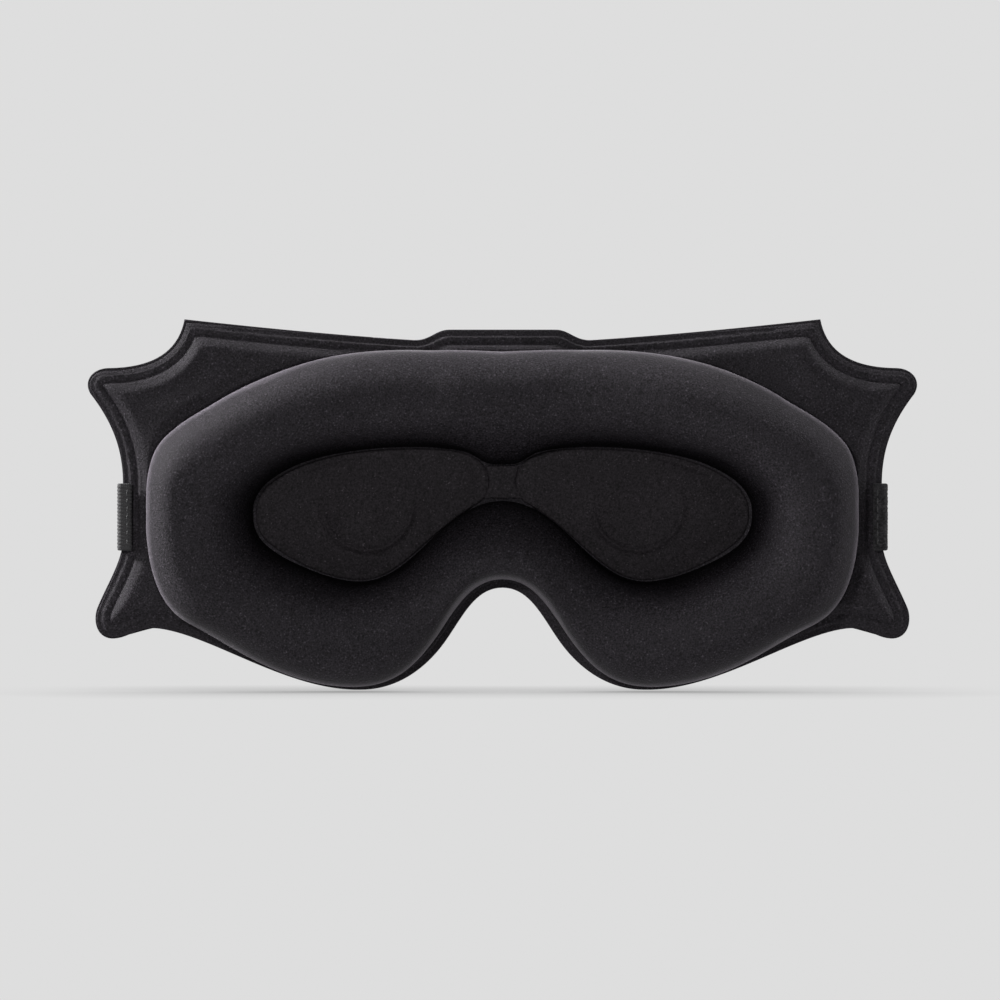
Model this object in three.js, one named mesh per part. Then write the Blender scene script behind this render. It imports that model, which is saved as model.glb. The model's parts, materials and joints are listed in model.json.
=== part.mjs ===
// A contoured sleep eye mask, in millimetres, with +Z up.
//
// The mask stands upright on its two lower lobes. Its face side, with the ring cushion
// and the eye pads, looks along -Y. Its plain outer cover looks along +Y, and the two
// halves of the head strap lie folded flat behind it. X = 0 is the plane of symmetry.
//
// While it is drawn, Z = 0 is the height of the strap's middle and Y = 0 is the joint
// between the outer cover and the inner lining. The finished group is then moved so
// that the middle of its footprint is the origin.

import * as THREE from 'three';
import { mergeVertices } from 'three/addons/utils/BufferGeometryUtils.js';

// ---------------------------------------------------------------------------
// Driving dimensions
// ---------------------------------------------------------------------------

const CLEARANCE = 0.3;            // between pieces that lie against each other

const COVER_THICKNESS = 1.2;      // outer cover, fabric laminated to thin foam
const LINING_THICKNESS = 1.5;     // inner lining at its pressed edge
const LINING_SETBACK = 1.8;       // the lining stops this far inside the cover's edge
const PRESSED_EDGE = 3.8;         // width of the pressed border round the mask
const DOME_HEIGHT = 5.2;          // how far the outer cover bulges behind the eyes
const DOME_AT_RING = 0.8;         // its rise where the ring cushion starts
const DOME_SHOULDER = 3.4;        // and part of the way from there to the openings
const DOME_SHOULDER_SHARE = 0.35;
const WING_PAD_RISE = 2.4;        // padding of the wings above the pressed border
const WING_ROOM = [6, 12];        // padding grows from none to full over this much room
const CORE_EDGE = 0.8;            // thickness of the core foam at its feather edge

const CUSHION_SKIN = 1.0;         // fabric cover of the ring cushion
const CREST_AT_NOSE = 14.5;       // ring cushion's height at the brow and nose
const CREST_AT_TEMPLE = 18.5;     // and beside the eyes
const TEMPLE_X = 85;              // where it has reached its full height

const PAD_THICKNESS = 1.2;        // eye pad at its edge
const PAD_CROWN = 1.2;            // and how much its middle stands proud of that
const BRIDGE_THICKNESS = 1.6;

const STRAP_WIDTH = 19.4;
const STRAP_THICKNESS = 1.2;
const STRAP_PIVOT_X = 111.3;      // the strap turns about the mask's side edge
const STRAP_START = 4.8;          // free strap begins this far from the pivot
const RAMP_LIFT = 0.2;            // it starts this far off the wrapped end
const RAMP_END = 28;              // and has climbed to its place behind the mask here
const LINK_LENGTH = 7.2;          // first stretch of free strap, up to its second pivot
const LINK_GAP = 1.5;             // room for the bend there
const STRAP_END_X = 12.5;         // right half's free end, from the middle
const HEM_LENGTH = 11;

const FOLD_X = 14.5;              // where the left half doubles back, from the middle
const FOLD_SETBACK = 1.0;         // both layers stop this far short of the fold's axis
const TAIL_END_X = 85;            // free end of the tail
const TAIL_TIP = 2;               // bare webbing beyond the hook tape

const HOOK_LENGTH = 40;
const HOOK_WIDTH = 16;
const HOOK_BASE = 0.5;            // backing of the hook tape
const HOOK_PILE = 0.6;            // field of hooks on it
const SELVEDGE = 1.9;             // bare border of the hook tape
const FRAME_INSET = 0.5;          // between its stitching and either side of that border
const THREAD = 0.3;
const TAB_SEAM_INSET = 1.2;       // from the sewn end of the strap to its row of stitches
const TAB_SEAM_MARGIN = 1.5;      // from the row's ends to the webbing's edges

const WRAP_FRONT = 107.1;         // strap end wrapped round the edge: sewn face leg
const WRAP_BACK = 108.5;          // and the short leg behind
const WRAP_INSIDE = 110.7;

// ---------------------------------------------------------------------------
// Outlines, right half, from the top middle round to the bottom middle, as (x, z)
// ---------------------------------------------------------------------------

// Every outline is the same run of stretches, so point n of one lies opposite point n
// of another. These are the steps in each stretch.
const STEPS = {
  topMiddle: 2,
  tabShoulder: 3,
  topEdge: 6,
  upperNotch: 4,
  upperHorn: 3,
  upperSide: 4,
  strapSide: 2,
  lowerSide: 3,
  lowerHorn: 3,
  lowerNotch: 2,
  cheek: 7,
  lobe: 4,
  noseArch: 4,
};

// The back panel: a raised tab at the top middle, two horns on each side, two lobes
// over the cheeks and an arch for the nose.
const PANEL = {
  topMiddle: [[0, 54.2], [15.3, 54.2]],
  tabShoulder: [[15.3, 54.2], [19.5, 54.2], [20.5, 51.2], [25.5, 51.2]],
  topEdge: [[25.5, 51.2], [92, 57.2]],
  upperNotch: [[92, 57.2], [94, 46.5], [103, 43.2], [114, 43.1]],
  upperHorn: [[114, 43.1], [118.5, 43], [121.5, 39.5], [119.2, 35.6]],
  upperSide: [[119.2, 35.6], [112.5, 27], [109.8, 19], [109.8, 9.5]],
  strapSide: [[109.8, 9.5], [109.8, -6]],
  lowerSide: [[109.8, -6], [109.8, -12.5], [114, -18.5], [117.3, -26.5]],
  lowerHorn: [[117.3, -26.5], [118.6, -30.5], [117.2, -35.4], [112.4, -35.2]],
  lowerNotch: [[112.4, -35.2], [107.5, -34.9], [106, -31.6], [99.5, -32.3]],
  cheek: [[99.5, -32.3], [84, -34.2], [62, -50.5], [41, -50]],
  lobe: [[41, -50], [30, -50], [22, -43.5], [16.8, -36.4]],
  noseArch: [[16.8, -36.4], [11.5, -29], [8, -20.5], [0, -20.5]],
};

// The foot of the ring cushion's outer wall.
const RING_OUTSIDE = {
  topMiddle: [[0, 47.7], [14, 47.9]],
  tabShoulder: [[14, 47.9], [24, 47.9]],
  topEdge: [[24, 47.9], [48, 48.2], [64, 43.6], [79.3, 35]],
  upperNotch: [[79.3, 35], [84, 32.1], [89, 29.2], [92.5, 26.7]],
  upperHorn: [[92.5, 26.7], [95.8, 24.2], [98.5, 21.8], [99.9, 18.8]],
  upperSide: [[99.9, 18.8], [101.6, 15], [102.2, 10], [102.2, 7]],
  strapSide: [[102.2, 7], [102.2, -4]],
  lowerSide: [[102.2, -4], [101.8, -10], [101, -15], [99, -20]],
  lowerHorn: [[99, -20], [97.8, -23], [96.2, -25.3], [94, -27.6]],
  lowerNotch: [[94, -27.6], [92, -29.4], [90, -30.6], [87.5, -32]],
  cheek: [[87.5, -32], [74, -39.5], [60, -48.6], [43, -48.6]],
  lobe: [[43, -48.6], [31, -48.6], [25.5, -42.5], [19.3, -34.6]],
  noseArch: [[19.3, -34.6], [13.8, -27.4], [9.5, -18], [0, -18]],
};

// The opening that both eyes look into, narrowest over the nose.
const OPENING = {
  topMiddle: [[0, 15.2], [3, 15.3]],
  tabShoulder: [[3, 15.3], [6, 15.5], [7.5, 18], [11, 18.9]],
  topEdge: [[11, 18.9], [24, 21.6], [46, 20], [58, 15.6]],
  upperNotch: [[58, 15.6], [60.5, 14.6], [63, 13.4], [65, 12.1]],
  upperHorn: [[65, 12.1], [67, 10.8], [69, 9.3], [70.2, 7.4]],
  upperSide: [[70.2, 7.4], [71.4, 5.6], [72, 4], [72.1, 2.4]],
  strapSide: [[72.1, 2.4], [72.1, -0.8]],
  lowerSide: [[72.1, -0.8], [71.9, -3], [71, -5], [69.6, -6.8]],
  lowerHorn: [[69.6, -6.8], [68.4, -8.2], [66.8, -9.4], [65, -10.6]],
  lowerNotch: [[65, -10.6], [63.4, -11.6], [62, -12.4], [60, -13.3]],
  cheek: [[60, -13.3], [53, -16.6], [46, -19], [40, -18.6]],
  lobe: [[40, -18.6], [33, -18], [27.5, -13.2], [21.5, -7.4]],
  noseArch: [[21.5, -7.4], [13.5, 0.4], [7, 4.6], [0, 4.6]],
};

// One eye pad: a closed outline of its own, blunt beside the nose.
const EYE_PAD = {
  brow: [[20, 19.2], [42, 19.8], [58.5, 16.6], [67.6, 8.8]],
  outerCorner: [[67.6, 8.8], [72, 4.6], [72, -2.8], [67.8, -6.8]],
  underEye: [[67.8, -6.8], [59.5, -13.6], [48, -18.4], [40, -17.8]],
  noseSide: [[40, -17.8], [30, -17.4], [22.5, -5], [8.5, 3.6]],
  bridgeEnd: [[8.5, 3.6], [5.4, 5.2], [4.3, 6.8], [4.3, 9.5]],
  browStart: [[4.3, 9.5], [4.3, 14.6], [6.8, 18.8], [20, 19.2]],
};
const PAD_STEPS = 5;
const PAD_MIDDLE = new THREE.Vector2(38, 1);
const PAD_SHOULDER = 0.16;        // share of the way in where the pad's edge has risen
const PAD_FLAT = 0.6;             // share of the way in where its crown is reached

// ---------------------------------------------------------------------------
// Curves and loops
// ---------------------------------------------------------------------------

function stretch(points) {
  const corners = points.map(([x, z]) => new THREE.Vector2(x, z));
  if (corners.length === 2) {
    return new THREE.LineCurve(...corners);
  }
  return new THREE.CubicBezierCurve(...corners);
}

// Points along a run of stretches, leaving out the very last one.
function sampleRun(outline, stepsOf) {
  return Object.entries(outline).flatMap(([name, points]) => {
    const curve = stretch(points);
    const steps = stepsOf(name);
    return curve.getSpacedPoints(steps).slice(0, steps);
  });
}

// A whole loop from the outline of its right half.
function mirroredLoop(outline) {
  const right = sampleRun(outline, (name) => STEPS[name]);
  const [x, z] = Object.values(outline).at(-1).at(-1);
  const bottom = new THREE.Vector2(x, z);
  const left = right.slice(1).reverse().map((point) => new THREE.Vector2(-point.x, point.y));
  return [...right, bottom, ...left];
}

const panelLoop = mirroredLoop(PANEL);
const ringLoop = mirroredLoop(RING_OUTSIDE);
const openingLoop = mirroredLoop(OPENING);

// Each point of a loop moved the given distance towards its opposite on another loop.
function stepTowards(loop, target, distanceAt) {
  return loop.map((point, index) => {
    const gap = point.distanceTo(target[index]);
    return point.clone().lerp(target[index], distanceAt(gap) / gap);
  });
}

function between(loop, target, share) {
  return loop.map((point, index) => point.clone().lerp(target[index], share));
}

// A ring in space: the loop, with each point at its own y.
function ring(loop, yAt) {
  return loop.map((point, index) => new THREE.Vector3(point.x, yAt(index), point.y));
}

const flatRing = (loop, y) => ring(loop, () => y);

// ---------------------------------------------------------------------------
// Solids
// ---------------------------------------------------------------------------

function geometryFrom(points, faces) {
  const volume = faces.reduce((sum, [a, b, c]) => {
    const cross = new THREE.Vector3().crossVectors(points[b], points[c]);
    return sum + points[a].dot(cross);
  }, 0);
  const outward = volume > 0 ? faces : faces.map(([a, b, c]) => [a, c, b]);
  const geometry = new THREE.BufferGeometry().setFromPoints(points);
  geometry.setIndex(outward.flat());
  geometry.computeVertexNormals();
  return geometry;
}

function bandFaces(from, to, count) {
  return Array.from({ length: count }, (_, index) => {
    const next = (index + 1) % count;
    return [
      [from + index, from + next, to + next],
      [from + index, to + next, to + index],
    ];
  }).flat();
}

// A closed tube of rings: the last one joins back to the first.
function ringSolid(rings) {
  const count = rings[0].length;
  const faces = rings.flatMap((_, index) => {
    const next = (index + 1) % rings.length;
    return bandFaces(index * count, next * count, count);
  });
  return geometryFrom(rings.flat(), faces);
}

// Triangles that fill a loop, wound the same way as the loop itself.
function fillFaces(loop) {
  const outline = loop.map((point) => new THREE.Vector2(point.x, point.z));
  const faces = THREE.ShapeUtils.triangulateShape(outline, []);
  const filled = faces[0].map((index) => outline[index]);
  if (THREE.ShapeUtils.isClockWise(outline) === THREE.ShapeUtils.isClockWise(filled)) {
    return faces;
  }
  return faces.map(([a, b, c]) => [a, c, b]);
}

// A stack of rings, closed by a flat face across the first and the last.
function cappedSolid(rings) {
  const count = rings[0].length;
  const last = (rings.length - 1) * count;
  const faces = [
    ...fillFaces(rings[0]).map(([a, b, c]) => [a, c, b]),
    ...rings.slice(1).flatMap((_, index) => bandFaces(index * count, (index + 1) * count, count)),
    ...fillFaces(rings.at(-1)).map(([a, b, c]) => [a + last, b + last, c + last]),
  ];
  return geometryFrom(rings.flat(), faces);
}

// A shape in the XY plane drawn out along Z, centred on Z = 0.
function strapSolid(shape, width) {
  const geometry = new THREE.ExtrudeGeometry(shape, { depth: width, bevelEnabled: false });
  geometry.translate(0, 0, -width / 2);
  return geometry;
}

function polygon(points) {
  return new THREE.Shape(points.map(([x, y]) => new THREE.Vector2(x, y)));
}

function rectangle(width, height) {
  return polygon([
    [-width / 2, -height / 2],
    [width / 2, -height / 2],
    [width / 2, height / 2],
    [-width / 2, height / 2],
  ]);
}

// ---------------------------------------------------------------------------
// The mask's body
// ---------------------------------------------------------------------------

const coverFlangeY = CLEARANCE + COVER_THICKNESS;
const liningFaceY = -LINING_THICKNESS;
const cushionFootY = liningFaceY - CLEARANCE;

const pressedLoop = stepTowards(panelLoop, ringLoop, (gap) => Math.min(PRESSED_EDGE, gap / 2));
const domeShoulderLoop = between(ringLoop, openingLoop, DOME_SHOULDER_SHARE);

// The outer surface of the dome, ring by ring inwards from the pressed border.
const domeRings = [
  { loop: pressedLoop, rise: 0 },
  { loop: ringLoop, rise: DOME_AT_RING },
  { loop: domeShoulderLoop, rise: DOME_SHOULDER },
  { loop: openingLoop, rise: DOME_HEIGHT },
];

// A sheet of even thickness: pressed flat at its edge and domed in the middle.
function outerCover() {
  const outside = domeRings.map(({ loop, rise }) => flatRing(loop, coverFlangeY + rise));
  const inside = domeRings.map(({ loop, rise }) => flatRing(loop, CLEARANCE + rise));
  return cappedSolid([
    ...outside.reverse(),
    flatRing(panelLoop, coverFlangeY),
    flatRing(panelLoop, CLEARANCE),
    ...inside,
  ]);
}

// The foam that fills the dome, flat towards the face.
function coreFoam() {
  const [, atRing, ...inner] = domeRings;
  const edgeLoop = stepTowards(atRing.loop, openingLoop, () => CLEARANCE);
  const back = inner.map(({ loop, rise }) => flatRing(loop, rise));
  return cappedSolid([
    ...back.reverse(),
    flatRing(edgeLoop, CORE_EDGE),
    flatRing(edgeLoop, CLEARANCE),
  ]);
}

// Where the lining's edge and the wing padding's slopes lie: a reach from the mask's edge
// or from the ring cushion, but never more than a share of the room between the two.
const LINING_STEPS = {
  edge: { reach: LINING_SETBACK, share: 0.3 },
  padFoot: { reach: PRESSED_EDGE, share: 0.5 },
  padTop: { reach: PRESSED_EDGE + 1.7, share: 0.6 },
  valleyTop: { reach: 2.2, share: 0.3 },
  valleyFoot: { reach: 0.8, share: 0.15 },
};

// The face-side sheet: pressed border, padded wings, and flat under the ring cushion.
function innerLining() {
  const stepped = (from, to, { reach, share }) => (
    stepTowards(from, to, (gap) => Math.min(reach, gap * share))
  );
  const edgeLoop = stepped(panelLoop, ringLoop, LINING_STEPS.edge);
  const footLoop = stepped(panelLoop, ringLoop, LINING_STEPS.padFoot);
  const topLoop = stepped(panelLoop, ringLoop, LINING_STEPS.padTop);
  const valleyTopLoop = stepped(ringLoop, panelLoop, LINING_STEPS.valleyTop);
  const valleyLoop = stepped(ringLoop, panelLoop, LINING_STEPS.valleyFoot);
  const padRise = (index) => {
    const room = panelLoop[index].distanceTo(ringLoop[index]);
    return WING_PAD_RISE * THREE.MathUtils.smoothstep(room, ...WING_ROOM);
  };
  const padTop = (index) => liningFaceY - padRise(index);
  return ringSolid([
    flatRing(edgeLoop, 0),
    flatRing(edgeLoop, liningFaceY),
    flatRing(footLoop, liningFaceY),
    ring(topLoop, padTop),
    ring(valleyTopLoop, padTop),
    flatRing(valleyLoop, liningFaceY),
    flatRing(openingLoop, liningFaceY),
    flatRing(openingLoop, 0),
  ]);
}

// ---------------------------------------------------------------------------
// The ring cushion
// ---------------------------------------------------------------------------

// Its section from the outer wall's foot to the inner wall's foot, as shares of the
// ring's width and of the crest's height.
const CUSHION_SECTION = [
  [0, 0],
  [0.02, 0.45],
  [0.09, 0.8],
  [0.25, 1],
  [0.5, 0.98],
  [0.76, 0.8],
  [0.95, 0.42],
  [1, 0],
];

function crestAt(index) {
  const share = THREE.MathUtils.smoothstep(Math.abs(ringLoop[index].x), 0, TEMPLE_X);
  return THREE.MathUtils.lerp(CREST_AT_NOSE, CREST_AT_TEMPLE, share);
}

// The cushion's surface, a given depth beneath its fabric.
function cushionRings(depth) {
  return CUSHION_SECTION.map(([across, up]) => {
    const loop = ringLoop.map((outer, index) => {
      const inner = openingLoop[index];
      const width = outer.distanceTo(inner);
      const distance = depth + across * (width - 2 * depth);
      return outer.clone().lerp(inner, distance / width);
    });
    return ring(loop, (index) => cushionFootY - up * (crestAt(index) - depth));
  });
}

function cushionCover() {
  return ringSolid([...cushionRings(0), ...cushionRings(CUSHION_SKIN).reverse()]);
}

function cushionFoam() {
  return ringSolid(cushionRings(CUSHION_SKIN + CLEARANCE));
}

// ---------------------------------------------------------------------------
// Eye pads and the bridge between them
// ---------------------------------------------------------------------------

function eyePad(side) {
  const rightLoop = sampleRun(EYE_PAD, () => PAD_STEPS);
  const loop = rightLoop.map((point) => new THREE.Vector2(side * point.x, point.y));
  const middle = new THREE.Vector2(side * PAD_MIDDLE.x, PAD_MIDDLE.y);
  const shrink = (share) => loop.map((point) => point.clone().lerp(middle, share));
  const edgeRise = PAD_THICKNESS * 0.7;
  return cappedSolid([
    flatRing(loop, 0),
    flatRing(loop, -edgeRise),
    flatRing(shrink(PAD_SHOULDER), -PAD_THICKNESS - PAD_CROWN * 0.5),
    flatRing(shrink(PAD_FLAT), -PAD_THICKNESS - PAD_CROWN),
  ]);
}

// The fabric strip over the nose, waisted between the two pads.
function bridgeStrip() {
  const top = 14.7;
  const bottom = 5.4;
  const middle = (top + bottom) / 2;
  const halfEnd = 3.4;
  const halfWaist = 2.7;
  const shape = new THREE.Shape();
  shape.moveTo(-halfEnd, bottom);
  shape.lineTo(halfEnd, bottom);
  shape.quadraticCurveTo(halfWaist, middle, halfEnd, top);
  shape.lineTo(-halfEnd, top);
  shape.quadraticCurveTo(-halfWaist, middle, -halfEnd, bottom);
  const geometry = new THREE.ExtrudeGeometry(shape, {
    depth: BRIDGE_THICKNESS,
    bevelEnabled: false,
    curveSegments: 4,
  });
  geometry.rotateX(Math.PI / 2);
  return geometry;
}

// ---------------------------------------------------------------------------
// Straps. Heights behind the mask are counted along +Y.
// ---------------------------------------------------------------------------

const domeTopY = coverFlangeY + DOME_HEIGHT;
const hemY = domeTopY + CLEARANCE;                        // the right half's hem, next to the dome
const rightLayerY = hemY + STRAP_THICKNESS;               // its webbing
const rightFaceY = rightLayerY + STRAP_THICKNESS;
const hookRoom = HOOK_BASE + HOOK_PILE + 2 * CLEARANCE;   // for the hook tape, unfolded
const runLayerY = rightFaceY + hookRoom;                  // left half, inner run
const tailLayerY = runLayerY + STRAP_THICKNESS + CLEARANCE;
const tailFaceY = tailLayerY + STRAP_THICKNESS;
const hookBaseY = tailFaceY + CLEARANCE;
const hookBorderY = hookBaseY + HOOK_BASE;
const wrapInnerY = coverFlangeY + CLEARANCE;
const wrapOuterY = wrapInnerY + STRAP_THICKNESS;
const rampStartY = wrapInnerY + RAMP_LIFT;

// The webbing end that is sewn to the face side and wraps round the mask's edge.
function strapTab(side) {
  const outside = WRAP_INSIDE + STRAP_THICKNESS;
  const corner = 0.8;
  return strapSolid(polygon([
    [side * WRAP_FRONT, -wrapInnerY],
    [side * WRAP_INSIDE, -wrapInnerY],
    [side * WRAP_INSIDE, wrapInnerY],
    [side * WRAP_BACK, wrapInnerY],
    [side * WRAP_BACK, wrapOuterY],
    [side * (outside - corner), wrapOuterY],
    [side * outside, wrapOuterY - corner],
    [side * outside, -wrapOuterY + corner],
    [side * (outside - corner), -wrapOuterY],
    [side * WRAP_FRONT, -wrapOuterY],
  ]), STRAP_WIDTH);
}

// The row of thread that holds the strap end down, its stitches as low bumps.
function tabStitching(side) {
  const stitches = 7;
  const pitch = (STRAP_WIDTH - 2 * TAB_SEAM_MARGIN) / stitches;
  const rowWidth = 0.8;
  const bump = 0.25;
  const start = -stitches * pitch / 2;
  const shape = new THREE.Shape();
  shape.moveTo(start, 0);
  shape.lineTo(start, THREAD);
  for (let stitch = 0; stitch < stitches; stitch += 1) {
    const from = start + stitch * pitch;
    shape.quadraticCurveTo(from + pitch / 2, THREAD + 2 * bump, from + pitch, THREAD);
  }
  shape.lineTo(-start, 0);
  const geometry = new THREE.ExtrudeGeometry(shape, {
    depth: rowWidth,
    bevelEnabled: false,
    curveSegments: 4,
  });
  // Drawn with the stitches along X and standing up Y: laid on the face leg instead.
  geometry.rotateX(Math.PI);
  geometry.rotateY(Math.PI / 2);
  const rowX = WRAP_FRONT + TAB_SEAM_INSET;
  geometry.translate(side * rowX + rowWidth / 2, -wrapOuterY - CLEARANCE, 0);
  return geometry;
}

// The face of the webbing next to the mask, at a distance from the pivot.
function innerFaceAt(distance, layerY) {
  const share = (distance - STRAP_START) / (RAMP_END - STRAP_START);
  return THREE.MathUtils.lerp(rampStartY, layerY, Math.min(share, 1));
}

// One layer of webbing through the given distances from the pivot.
function strapOutline(side, layerY, distances) {
  const inner = distances.map((distance) => [
    side * (STRAP_PIVOT_X - distance),
    innerFaceAt(distance, layerY),
  ]);
  const outer = inner.map(([x, y]) => [x, y + STRAP_THICKNESS]).reverse();
  return { inner, outer };
}

// The short stretch between the mask's edge and the second pivot.
function strapLink(side, layerY) {
  const { inner, outer } = strapOutline(side, layerY, [STRAP_START, STRAP_START + LINK_LENGTH]);
  return strapSolid(polygon([...inner, ...outer]), STRAP_WIDTH);
}

const runStart = STRAP_START + LINK_LENGTH + LINK_GAP;

function leftStrapRun() {
  const end = STRAP_PIVOT_X - FOLD_X - FOLD_SETBACK;
  const { inner, outer } = strapOutline(-1, runLayerY, [runStart, RAMP_END, end]);
  return strapSolid(polygon([...inner, ...outer]), STRAP_WIDTH);
}

function leftStrapTail() {
  const startX = -(FOLD_X + FOLD_SETBACK);
  return strapSolid(polygon([
    [startX, tailLayerY],
    [startX, tailFaceY],
    [-TAIL_END_X, tailFaceY],
    [-TAIL_END_X, tailLayerY],
  ]), STRAP_WIDTH);
}

// The right half, its free end turned under towards the cover and sewn.
function rightStrap() {
  const end = STRAP_PIVOT_X - STRAP_END_X;
  const hemStart = end - HEM_LENGTH;
  const { inner, outer } = strapOutline(1, rightLayerY, [runStart, RAMP_END, hemStart]);
  return strapSolid(polygon([
    ...inner,
    [STRAP_END_X + HEM_LENGTH, hemY],
    [STRAP_END_X, hemY],
    [STRAP_END_X, rightFaceY],
    ...outer.slice(1),
  ]), STRAP_WIDTH);
}

const hookMiddleX = -(TAIL_END_X - TAIL_TIP - HOOK_LENGTH / 2);

// The hook tape: a backing with a raised field of hooks and a bare border.
function hookTape() {
  const fieldLength = HOOK_LENGTH - 2 * SELVEDGE;
  const fieldWidth = HOOK_WIDTH - 2 * SELVEDGE;
  const backing = rectangle(HOOK_LENGTH, HOOK_WIDTH).getPoints();
  const field = rectangle(fieldLength, fieldWidth).getPoints();
  const faceY = hookBorderY + HOOK_PILE;
  return cappedSolid([
    flatRing(backing, hookBaseY),
    flatRing(backing, hookBorderY),
    flatRing(field, hookBorderY),
    flatRing(field, faceY),
  ]).translate(hookMiddleX, 0, 0);
}

// The frame of stitching that runs round the hook tape's border.
function hookTapeStitching() {
  const fromEdge = FRAME_INSET;
  const fromField = SELVEDGE - FRAME_INSET;
  const frame = rectangle(HOOK_LENGTH - 2 * fromEdge, HOOK_WIDTH - 2 * fromEdge);
  frame.holes.push(rectangle(HOOK_LENGTH - 2 * fromField, HOOK_WIDTH - 2 * fromField));
  const geometry = new THREE.ExtrudeGeometry(frame, { depth: THREAD, bevelEnabled: false });
  geometry.rotateX(-Math.PI / 2);
  geometry.translate(hookMiddleX, hookBorderY + CLEARANCE, 0);
  return geometry;
}

// ---------------------------------------------------------------------------
// Materials and assembly
// ---------------------------------------------------------------------------

function cloth(color, roughness) {
  return new THREE.MeshStandardMaterial({ color, roughness, metalness: 0 });
}

const brushedFabric = () => cloth(0x252326, 0.92);
const padFabric = () => cloth(0x1f1d20, 0.95);
const foam = () => cloth(0x3a393c, 1);
const webbing = () => cloth(0x323133, 0.85);
const loopPile = () => cloth(0x2e2d2f, 1);
const hooks = () => cloth(0x161617, 0.6);
const threadFinish = () => cloth(0x2b2a2d, 0.7);

function addPiece(group, name, geometry, material) {
  geometry.deleteAttribute('normal');
  geometry.deleteAttribute('uv');
  const welded = mergeVertices(geometry, 1e-4);
  welded.computeVertexNormals();
  const mesh = new THREE.Mesh(welded, material);
  mesh.name = name;
  group.add(mesh);
}

const mask = new THREE.Group();
mask.name = 'sleep_eye_mask';

addPiece(mask, 'outer_cover', outerCover(), brushedFabric());
addPiece(mask, 'core_foam', coreFoam(), foam());
addPiece(mask, 'inner_lining', innerLining(), brushedFabric());
addPiece(mask, 'cushion_foam', cushionFoam(), foam());
addPiece(mask, 'cushion_cover', cushionCover(), brushedFabric());
addPiece(mask, 'left_eye_pad', eyePad(-1), padFabric());
addPiece(mask, 'right_eye_pad', eyePad(1), padFabric());
addPiece(mask, 'bridge_strip', bridgeStrip(), padFabric());
addPiece(mask, 'left_strap_tab', strapTab(-1), webbing());
addPiece(mask, 'right_strap_tab', strapTab(1), loopPile());
addPiece(mask, 'left_tab_stitching', tabStitching(-1), threadFinish());
addPiece(mask, 'right_tab_stitching', tabStitching(1), threadFinish());
addPiece(mask, 'left_strap_link', strapLink(-1, runLayerY), webbing());
addPiece(mask, 'right_strap_link', strapLink(1, rightLayerY), loopPile());
addPiece(mask, 'left_strap_run', leftStrapRun(), webbing());
addPiece(mask, 'left_strap_tail', leftStrapTail(), webbing());
addPiece(mask, 'hook_tape', hookTape(), hooks());
addPiece(mask, 'hook_tape_stitching', hookTapeStitching(), threadFinish());
addPiece(mask, 'right_strap', rightStrap(), loopPile());

// The origin is the middle of the footprint, on the floor.
const box = new THREE.Box3().setFromObject(mask);
const centre = box.getCenter(new THREE.Vector3());
mask.position.set(-centre.x, -centre.y, -box.min.z);

export default mask;
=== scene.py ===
"""Looks of the sleep eye mask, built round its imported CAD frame.

Lengths are in millimetres in the mask's own drawing frame until a mesh is made: x is 0 on the
plane of symmetry, y is 0 where the outer cover meets the inner lining, with the face side at
negative y, and z is 0 at the middle of the strap. place() turns them into the frame's metres.
"""

import json
import math

import bmesh
import bpy
import numpy as np
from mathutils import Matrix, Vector, noise

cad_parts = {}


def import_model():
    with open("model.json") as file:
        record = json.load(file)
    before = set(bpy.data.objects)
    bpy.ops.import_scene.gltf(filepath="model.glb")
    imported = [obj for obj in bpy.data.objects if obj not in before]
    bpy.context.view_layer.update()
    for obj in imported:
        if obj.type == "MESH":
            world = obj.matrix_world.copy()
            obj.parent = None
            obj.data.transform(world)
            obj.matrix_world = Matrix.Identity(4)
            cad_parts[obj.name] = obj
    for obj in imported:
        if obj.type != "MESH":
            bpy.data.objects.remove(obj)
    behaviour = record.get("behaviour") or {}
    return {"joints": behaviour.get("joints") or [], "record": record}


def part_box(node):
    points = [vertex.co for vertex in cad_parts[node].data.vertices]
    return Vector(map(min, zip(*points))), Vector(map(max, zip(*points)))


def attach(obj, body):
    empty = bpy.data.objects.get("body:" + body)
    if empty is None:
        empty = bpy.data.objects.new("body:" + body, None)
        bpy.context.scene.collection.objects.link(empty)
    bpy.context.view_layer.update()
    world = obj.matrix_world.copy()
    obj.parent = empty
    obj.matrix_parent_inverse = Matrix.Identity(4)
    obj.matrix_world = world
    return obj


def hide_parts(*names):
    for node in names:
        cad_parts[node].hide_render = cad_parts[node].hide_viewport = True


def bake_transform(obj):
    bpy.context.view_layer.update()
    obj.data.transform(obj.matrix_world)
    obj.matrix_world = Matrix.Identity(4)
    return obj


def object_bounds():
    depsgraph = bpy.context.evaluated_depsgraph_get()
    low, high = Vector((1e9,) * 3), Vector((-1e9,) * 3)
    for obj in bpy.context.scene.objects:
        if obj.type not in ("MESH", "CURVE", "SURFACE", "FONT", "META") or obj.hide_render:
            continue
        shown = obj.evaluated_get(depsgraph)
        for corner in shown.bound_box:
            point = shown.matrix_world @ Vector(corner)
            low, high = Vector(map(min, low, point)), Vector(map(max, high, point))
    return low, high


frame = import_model()
cad_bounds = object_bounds()

MM = 0.001

# ---------------------------------------------------------------------------
# Places taken from the frame
# ---------------------------------------------------------------------------

lining_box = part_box("inner_lining")
tab_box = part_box("left_strap_tab")
JOINT_Y = lining_box[1].y / MM
STRAP_Z = (tab_box[0].z + tab_box[1].z) / 2 / MM


def drawn_box(node):
    """A CAD node's corners in the drawing frame, in millimetres."""
    low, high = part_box(node)
    shift = Vector((0, JOINT_Y, STRAP_Z))
    return low / MM - shift, high / MM - shift


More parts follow.
